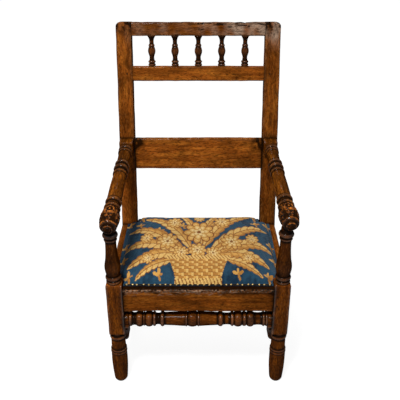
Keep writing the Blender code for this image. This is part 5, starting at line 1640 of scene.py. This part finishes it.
def leaf(start, bend, end, width, lobes):
    """A bent leaf with a lobed edge, a midrib and slanting veins."""
    t = np.linspace(0.0, 1.0, LEAF_RUNS + 1)[:, None]
    path = (1 - t) ** 2 * np.array(start) + 2 * t * (1 - t) * np.array(bend) + t**2 * np.array(end)
    nearest, share, side = np.full(len(across), 1.0), np.zeros(len(across)), np.zeros(len(across))
    for i in range(LEAF_RUNS):
        run = path[i + 1] - path[i]
        along = np.clip(((drawn_at - path[i]) @ run) / (run @ run), 0.0, 1.0)
        away = drawn_at - path[i] - along[:, None] * run
        distance = np.linalg.norm(away, axis=1)
        closer = distance < nearest
        nearest[closer], share[closer] = distance[closer], (i + along[closer]) / LEAF_RUNS
        side[closer] = (run[0] * away[:, 1] - run[1] * away[:, 0])[closer]
    scallop = np.abs(np.sin(math.pi * lobes * share - 2.2 * nearest / width))
    lobed = 0.72 + 0.28 * scallop
    half = width * np.sin(math.pi * np.clip(share, 0.001, 0.999) ** 0.72) ** 0.75 * lobed + 0.0008
    depth = 1.0 - nearest / half
    vein = scallop < 0.28
    paint(depth > 0.0, BROWN)
    paint(depth > 0.16, GOLD)
    paint((depth > 0.16) & (side > 0), PALE_GOLD)
    paint((depth > 0.10) & (depth < 0.45) & (side <= 0), TAN)
    paint((depth > 0.16) & vein, TAN)
    paint((nearest < 0.0013) & (share > 0.01) & (share < 0.96), BROWN)


def flower(middle, radius, rng):
    """A round flower of three rings of petals, each petal with a dark rim and a light tip."""
    rings = [(9, 0.68, 0.36, 0.27, BROWN, GOLD, PALE_GOLD), (7, 0.42, 0.28, 0.21, TAN, PALE_GOLD, CREAM)]
    rings.append((5, 0.20, 0.20, 0.14, TAN, CREAM, CREAM))
    for count, distance, half_long, half_wide, rim, body, tip in rings:
        first = rng.uniform(0.0, 6.28)
        for petal in range(count):
            angle = first + 2 * math.pi * petal / count + rng.uniform(-0.08, 0.08)
            place = np.array(middle) + distance * radius * np.array([math.cos(angle), math.sin(angle)])
            depth = oval(place, half_long * radius, half_wide * radius, angle)
            paint(depth > 0.0, rim)
            paint(depth > 0.24, body)
            paint(depth > 0.62, tip)
    paint(oval(middle, 0.13 * radius, 0.13 * radius, 0.0) > 0.0, BROWN)


print("an oval holds", round(float(oval((0.0, 0.15), 0.1, 0.1, 0.0).max()), 3), "on its middle")

# %% [markdown]
# ## Working the design
# The blue ground is dyed unevenly. On it come the small sprigs, then leaves, the basket and flowers,
# each over the one before. Both halves are alike, but every place is off by a little, as by hand.

# %% Ground, sprigs, leaves, basket and flowers
uneven = ripple(lying(drawn_at), 0.060, 41) + 0.5 * ripple(lying(drawn_at), 0.014, 42)
colours = BLUE + (DEEP_BLUE - BLUE) * smooth_step(uneven, -0.2, 1.2)[:, None]
rng = np.random.default_rng(81)
SPRIGS = [
    (0.246, 0.086), (0.247, 0.150), (0.246, 0.252), (0.205, 0.286), (0.128, 0.026), (0.222, 0.020),
    (0.128, 0.292), (0.030, 0.292), (0.152, 0.128), (0.140, 0.205), (0.054, 0.228), (0.205, 0.240),
]
LEAVES = [  # start, bend, end, width and lobes
    ((0.09, 0.070), (0.15, 0.062), (0.200, 0.010), 0.017, 6),
    ((0.06, 0.090), (0.16, 0.122), (0.232, 0.040), 0.025, 8),
    ((0.05, 0.100), (0.17, 0.178), (0.245, 0.112), 0.025, 8),
    ((0.04, 0.105), (0.15, 0.240), (0.240, 0.208), 0.023, 8),
    ((0.02, 0.120), (0.08, 0.262), (0.190, 0.280), 0.021, 8),
    ((0.01, 0.140), (0.02, 0.268), (0.080, 0.296), 0.015, 7),
]
FLOWERS = [  # place and radius
    (0.182, 0.168, 0.023), (0.165, 0.082, 0.022), (0.090, 0.250, 0.030), (0.108, 0.152, 0.038),
    (0.052, 0.104, 0.027),
]
BASKET_FOOT, BASKET_TOP, WITHY, PLAIT, TWIST = 0.010, 0.080, 0.0095, 0.0155, 0.011
for side in SIDES:
    for x, y in SPRIGS:
        middle = np.array([side * x, y]) + rng.uniform(-0.004, 0.004, 2)
        for angle in (1.57, 0.35, 2.79, -1.2):
            size = 0.0085 * rng.uniform(0.8, 1.2)
            place = middle + size * np.array([math.cos(angle), math.sin(angle)])
            paint(oval(place, size, size * 0.46, angle) > 0.0, TAN if angle < 1.0 else GOLD)
    for start, bend, end, width, lobes in LEAVES:
        shift = rng.uniform(-0.005, 0.005, 2)
        leaf(*[np.array([side * x, y]) + shift for x, y in (start, bend, end)], width, lobes)
basket_half = 0.066 + 0.032 * up / BASKET_TOP
weave = (np.floor(up / WITHY) + np.floor(across / PLAIT)) % 2
in_basket = (np.abs(across) < basket_half) & (up > BASKET_FOOT) & (up < BASKET_TOP)
paint(in_basket, GOLD)
paint(in_basket & (weave > 0), TAN)
paint(in_basket & ((up / WITHY) % 1.0 < 0.20), BROWN)
paint(in_basket & (weave == 0) & ((across / PLAIT) % 1.0 > 0.55), PALE_GOLD)
for x, y, radius in FLOWERS:
    for side in SIDES:
        flower((side * x + rng.uniform(-0.005, 0.005), y + rng.uniform(-0.004, 0.004)), radius, rng)
flower((0.002, 0.196), 0.054, rng)
flower((-0.003, 0.112), 0.032, rng)
flower((0.004, 0.272), 0.021, rng)
for low, high, half in ((0.074, 0.088, 0.106), (0.006, 0.015, 0.074)):
    rope = (up > low) & (up < high) & (np.abs(across) < half)
    paint(rope, PALE_GOLD)
    paint(rope & (((across + 0.8 * up) / TWIST) % 1.0 < 0.30), BROWN)
gold_share = float((colours[:, 0] > colours[:, 2]).mean())
print("wool other than blue covers", round(gold_share, 2), "of the seat")

# %% [markdown]
# ## Wool and canvas
# Each stitch is a short slanting strand of wool. The colour of a stitch is stored on its face, and the
# canvas squares go into a UV map, so that the bump of the strand sits in its own square. Dyes fade and
# wear unevenly, so every stitch also differs a little from its neighbours.


# %% Needlework finish
def needlework():
    kit = Finish("wool_needlework")
    square = kit.add("ShaderNodeUVMap", {}, uv_map="canvas")
    x, y, _ = kit.split(square)
    strand = kit.math("ABSOLUTE", kit.wave(kit.plus(x, y), 2.0))
    rows = kit.math("ABSOLUTE", kit.wave(y, 2.0))
    height = kit.times(kit.math("POWER", strand, 0.6), kit.math("POWER", rows, 0.45))
    fuzz = kit.noise(square, 4.0, 0.65, 0.3, 5.0)
    dye = kit.attribute("stitch_colour", "Color")
    cell = kit.add("ShaderNodeVectorMath", {0: square}, operation="FLOOR")
    random = kit.add("ShaderNodeTexWhiteNoise", {"Vector": cell}, "Value")
    fade = kit.noise(kit.place(), 3.0, 0.55, 0.4, 9.0)
    level = kit.times(kit.spread(random, 0.0, 1.0, 0.86, 1.10), kit.spread(fade, 0.3, 0.7, 0.88, 1.08))
    # The low parts of each strand are darkened: painted shade between the strands.
    level = kit.times(level, kit.spread(height, 0.0, 0.8, 0.70, 1.05))
    level = kit.times(level, kit.spread(fuzz, 0.3, 0.7, 0.93, 1.06))
    colour = kit.scaled(dye, level)
    rough = kit.spread(fuzz, 0.3, 0.7, 0.82, 0.97)
    bump = kit.bump(kit.plus(height, kit.times(fuzz, 0.5)), 0.0007, 0.8)
    return kit.surface(
        Base_Color=colour, Roughness=rough, Normal=bump, Specular_IOR_Level=0.06,
        Sheen_Weight=0.05, Sheen_Roughness=0.45,
    )


mesh = bpy.data.meshes.new("needlework_cover")
mesh.from_pydata((cover_corners + JOINER_START).tolist(), [], faces.tolist())
dye = mesh.attributes.new("stitch_colour", "FLOAT_COLOR", "FACE")
dye.data.foreach_set("color", np.column_stack([colours, np.ones(len(colours))]).astype(np.float32).ravel())
canvas_map = mesh.uv_layers.new(name="canvas")
inside = np.array([[0.0, 0.0], [1.0, 0.0], [1.0, 1.0], [0.0, 1.0]])
canvas_map.data.foreach_set("uv", (squares[:, None, :] + inside[None]).astype(np.float32).ravel())
cover = new_object("needlework_cover", mesh)
thickened(cover, 0.0014, -1.0)
cover.data.materials.append(needlework())
cover.data.shade_smooth()
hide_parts("seat_cover")
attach(cover, "root")
print("cover:", len(cover.data.polygons), "faces")

# %% [markdown]
# ## Trimming and nails
# The front edge of the cover is held by a dark strip and a row of domed brass nails, set by eye and
# so a little uneven. Geometry Nodes puts a small flattened ball on each point of a line, moves each
# by a random bit from a fixed seed, and joins the row to the strip.


# %% Brass and trimming finishes
def old_brass():
    kit = Finish("old_brass")
    tarnish = kit.noise(kit.place(), 4.0, 0.6, 0.4, 420.0)
    colour = kit.ramp(tarnish, [(0.36, (0.15, 0.085, 0.028)), (0.62, (0.58, 0.40, 0.15))])
    rough = kit.spread(tarnish, 0.3, 0.7, 0.46, 0.28)
    return kit.surface(Base_Color=colour, Roughness=rough, Normal=kit.bump(tarnish, 0.0002, 0.5), Metallic=0.85)


def dark_trimming():
    kit = Finish("dark_trimming")
    place = kit.place()
    x, y, _ = kit.split(place)
    braid = kit.wave(kit.plus(x, kit.times(y, 1.5)), 0.0016)
    wear = kit.noise(place, 4.0, 0.6, 0.2, 190.0)
    level = kit.plus(kit.times(braid, 0.10), wear)
    colour = kit.ramp(level, [(0.35, (0.004, 0.003, 0.002)), (0.75, (0.022, 0.015, 0.010))])
    rough = kit.spread(wear, 0.3, 0.7, 0.7, 0.92)
    normal = kit.bump(level, 0.0005)
    return kit.surface(Base_Color=colour, Roughness=rough, Normal=normal, Specular_IOR_Level=0.1)


BRASS, TRIMMING = old_brass(), dark_trimming()
print("nail finishes:", BRASS.name, TRIMMING.name)

# %% [markdown]
# ## Setting the nails
# The tree takes the strip as its geometry and the number, spacing and radius of the nails as inputs.


# %% Nail tree and front band
def nail_tree():
    inputs = {"Count": "NodeSocketInt", "Start": "NodeSocketVector", "Spacing": "NodeSocketVector"}
    inputs.update({"Radius": "NodeSocketFloat", "Seed": "NodeSocketInt", "Finish": "NodeSocketMaterial"})
    tree, named, given = new_tree("row_of_nails", inputs)
    jitter = random_vector(tree, (-0.0026, -0.0009, 0.0), (0.0026, 0.0009, 0.0), given["Seed"])
    inputs = {"Geometry": row_of_points(tree, given), "Offset": jitter}
    scatter = add_node(tree, "GeometryNodeSetPosition", inputs).outputs[0]
    inputs = {"Segments": 14, "Rings": 8, "Radius": given["Radius"]}
    head = add_node(tree, "GeometryNodeMeshUVSphere", inputs).outputs[0]
    tilt = random_vector(tree, (-0.12, -0.12, 0.0), (0.12, 0.12, FULL_TURN), given["Seed"])
    size = random_vector(tree, (0.92, 0.92, 0.58), (1.06, 1.06, 0.70), given["Seed"])
    heads = made_real(tree, set_out(tree, scatter, head, tilt, size), given["Finish"])
    smooth = add_node(tree, "GeometryNodeSetShadeSmooth", {"Geometry": heads}).outputs[0]
    add_node(tree, "NodeGroupOutput", {0: joined(tree, smooth, given["Geometry"])})
    return tree, named


NAILS, NAIL_INPUTS = nail_tree()
NAIL_COUNT, NAIL_RADIUS, NAIL_INSET = 27, 0.0036, 0.0068
BAND_HALF, BAND_Y, BAND_DEEP, BAND_FOOT, BAND_TOP = 0.230, 0.02955, 0.00325, 0.3783, 0.3803
low, high = (-BAND_HALF, BAND_Y - BAND_DEEP, BAND_FOOT), (BAND_HALF, BAND_Y + BAND_DEEP, BAND_TOP)
strip = plank(box_stations(low, high, 0), 0.0004, 201, 0.004, 3, 1)
mesh = bpy.data.meshes.new("nail_band")
mesh.from_pydata((strip["corners"] + JOINER_START).tolist(), [], strip["faces"])
outward(mesh)
mesh.materials.append(TRIMMING)
band = new_object("nailed_front_band", mesh)
nails = band.modifiers.new("nails", "NODES")
nails.node_group = NAILS
first = np.array([-BAND_HALF + NAIL_INSET, BAND_Y, BAND_TOP]) + JOINER_START
nails[NAIL_INPUTS["Count"]] = NAIL_COUNT
nails[NAIL_INPUTS["Start"]] = first.tolist()
nails[NAIL_INPUTS["Spacing"]] = (2 * (BAND_HALF - NAIL_INSET) / (NAIL_COUNT - 1), 0.0, 0.0)
nails[NAIL_INPUTS["Radius"]] = NAIL_RADIUS
nails[NAIL_INPUTS["Seed"]] = 17
nails[NAIL_INPUTS["Finish"]] = BRASS
plain_result(band)
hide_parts("nail_band_front")
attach(band, "root")
print("front band with nails:", len(band.data.polygons), "faces")

# %% [markdown]
# ## Floor, light and camera
# The chair stands on a plain white floor that runs to the horizon, so the picture's background is the
# floor itself. It glows a little for the eye alone, so that it stays white without lighting the chair
# from below. The world adds an even fill, and shows plain white to the camera and in reflections.


# %% Floor and world
FLOOR_REACH, FILL = 30.0, 0.17
WHITE = (1.0, 1.0, 1.0, 1.0)


def seen_rays(tree):
    """1 for a ray from the camera, also in a mirror or through glass, and 0 for light on its way."""
    rays = tree.nodes.new("ShaderNodeLightPath").outputs
    seen = rays["Is Camera Ray"]
    for kind in ("Is Glossy Ray", "Is Transmission Ray"):
        seen = worked_out(tree, "MAXIMUM", seen, rays[kind])
    return seen


def studio_floor():
    kit = Finish("studio_floor")
    place = kit.place()
    grain = kit.noise(place, 2.0, 0.5, 0.0, 3.0)
    far = kit.add("ShaderNodeVectorMath", {0: place}, "Value", operation="LENGTH")
    colour = kit.ramp(grain, [(0.3, (0.19, 0.19, 0.19)), (0.7, (0.20, 0.20, 0.20))])
    kit.surface(Base_Color=colour, Roughness=0.9, Specular_IOR_Level=0.0)
    strength = kit.times(seen_rays(kit.tree), kit.spread(far, 0.8, 3.0, 0.925, 0.985))
    glow = kit.add("ShaderNodeEmission", {"Color": WHITE, "Strength": strength})
    both = kit.add("ShaderNodeAddShader", {0: kit.shader.outputs[0], 1: glow})
    kit.tree.links.new(both, kit.tree.nodes["Material Output"].inputs["Surface"])
    return kit.material


mesh = bpy.data.meshes.new("floor")
turns = ((-1, -1), (1, -1), (1, 1), (-1, 1))
mesh.from_pydata([(x * FLOOR_REACH, y * FLOOR_REACH, 0.0) for x, y in turns], [], [(0, 1, 2, 3)])
floor = new_object("floor", mesh)
floor.data.materials.append(studio_floor())

world = bpy.data.worlds.new("studio")
bpy.context.scene.world = world
world.use_nodes = True
sky = world.node_tree
level = add_node(sky, "ShaderNodeMapRange", {"Value": seen_rays(sky), "To Min": FILL, "To Max": 1.0})
sky.nodes["Background"].inputs["Color"].default_value = WHITE
sky.links.new(level.outputs[0], sky.nodes["Background"].inputs["Strength"])
print("floor and world are ready")

# %% [markdown]
# ## Lamps and camera
# A strong lamp above and in front of the chair and weaker ones at the right and behind light it like a
# studio. Each is a disc as wide as the chair, for soft shadows and long highlights on the turned wood.
# The camera stands in front of the chair and looks down on the seat, as in the photograph.


# %% Lamps and camera
def soft_lamp(name, place, aim, size, power):
    lamp = bpy.data.lights.new(name, "AREA")
    lamp.shape = "DISK"
    lamp.size, lamp.energy = size, power
    holder = new_object(name, lamp)
    holder.location = place
    holder.rotation_euler = (Vector(aim) - Vector(place)).to_track_quat("-Z", "Y").to_euler()


soft_lamp("lamp_above", (-0.5, -1.5, 2.8), (0.0, 0.0, 0.5), 0.60, 99.0)
soft_lamp("lamp_right", (2.0, -1.8, 1.9), (0.0, 0.0, 0.5), 0.6, 3.0)
soft_lamp("lamp_behind", (-0.2, 2.0, 2.6), (0.0, 0.0, 0.6), 0.6, 20.0)
CAMERA_PLACE, CAMERA_TILT = (0.0055, -1.459, 1.434), math.radians(63.0)
camera = bpy.data.cameras.new("camera")
camera.lens, camera.sensor_width = 52.2, 36.0
view = new_object("camera", camera)
view.location = np.array(CAMERA_PLACE) + JOINER_START
view.rotation_euler = (CAMERA_TILT, 0.0, 0.0)
bpy.context.scene.camera = view
bpy.context.scene.view_settings.view_transform = "Standard"
print("camera at", [round(value, 4) for value in view.location])

# %% Update the scene
bpy.context.view_layer.update()
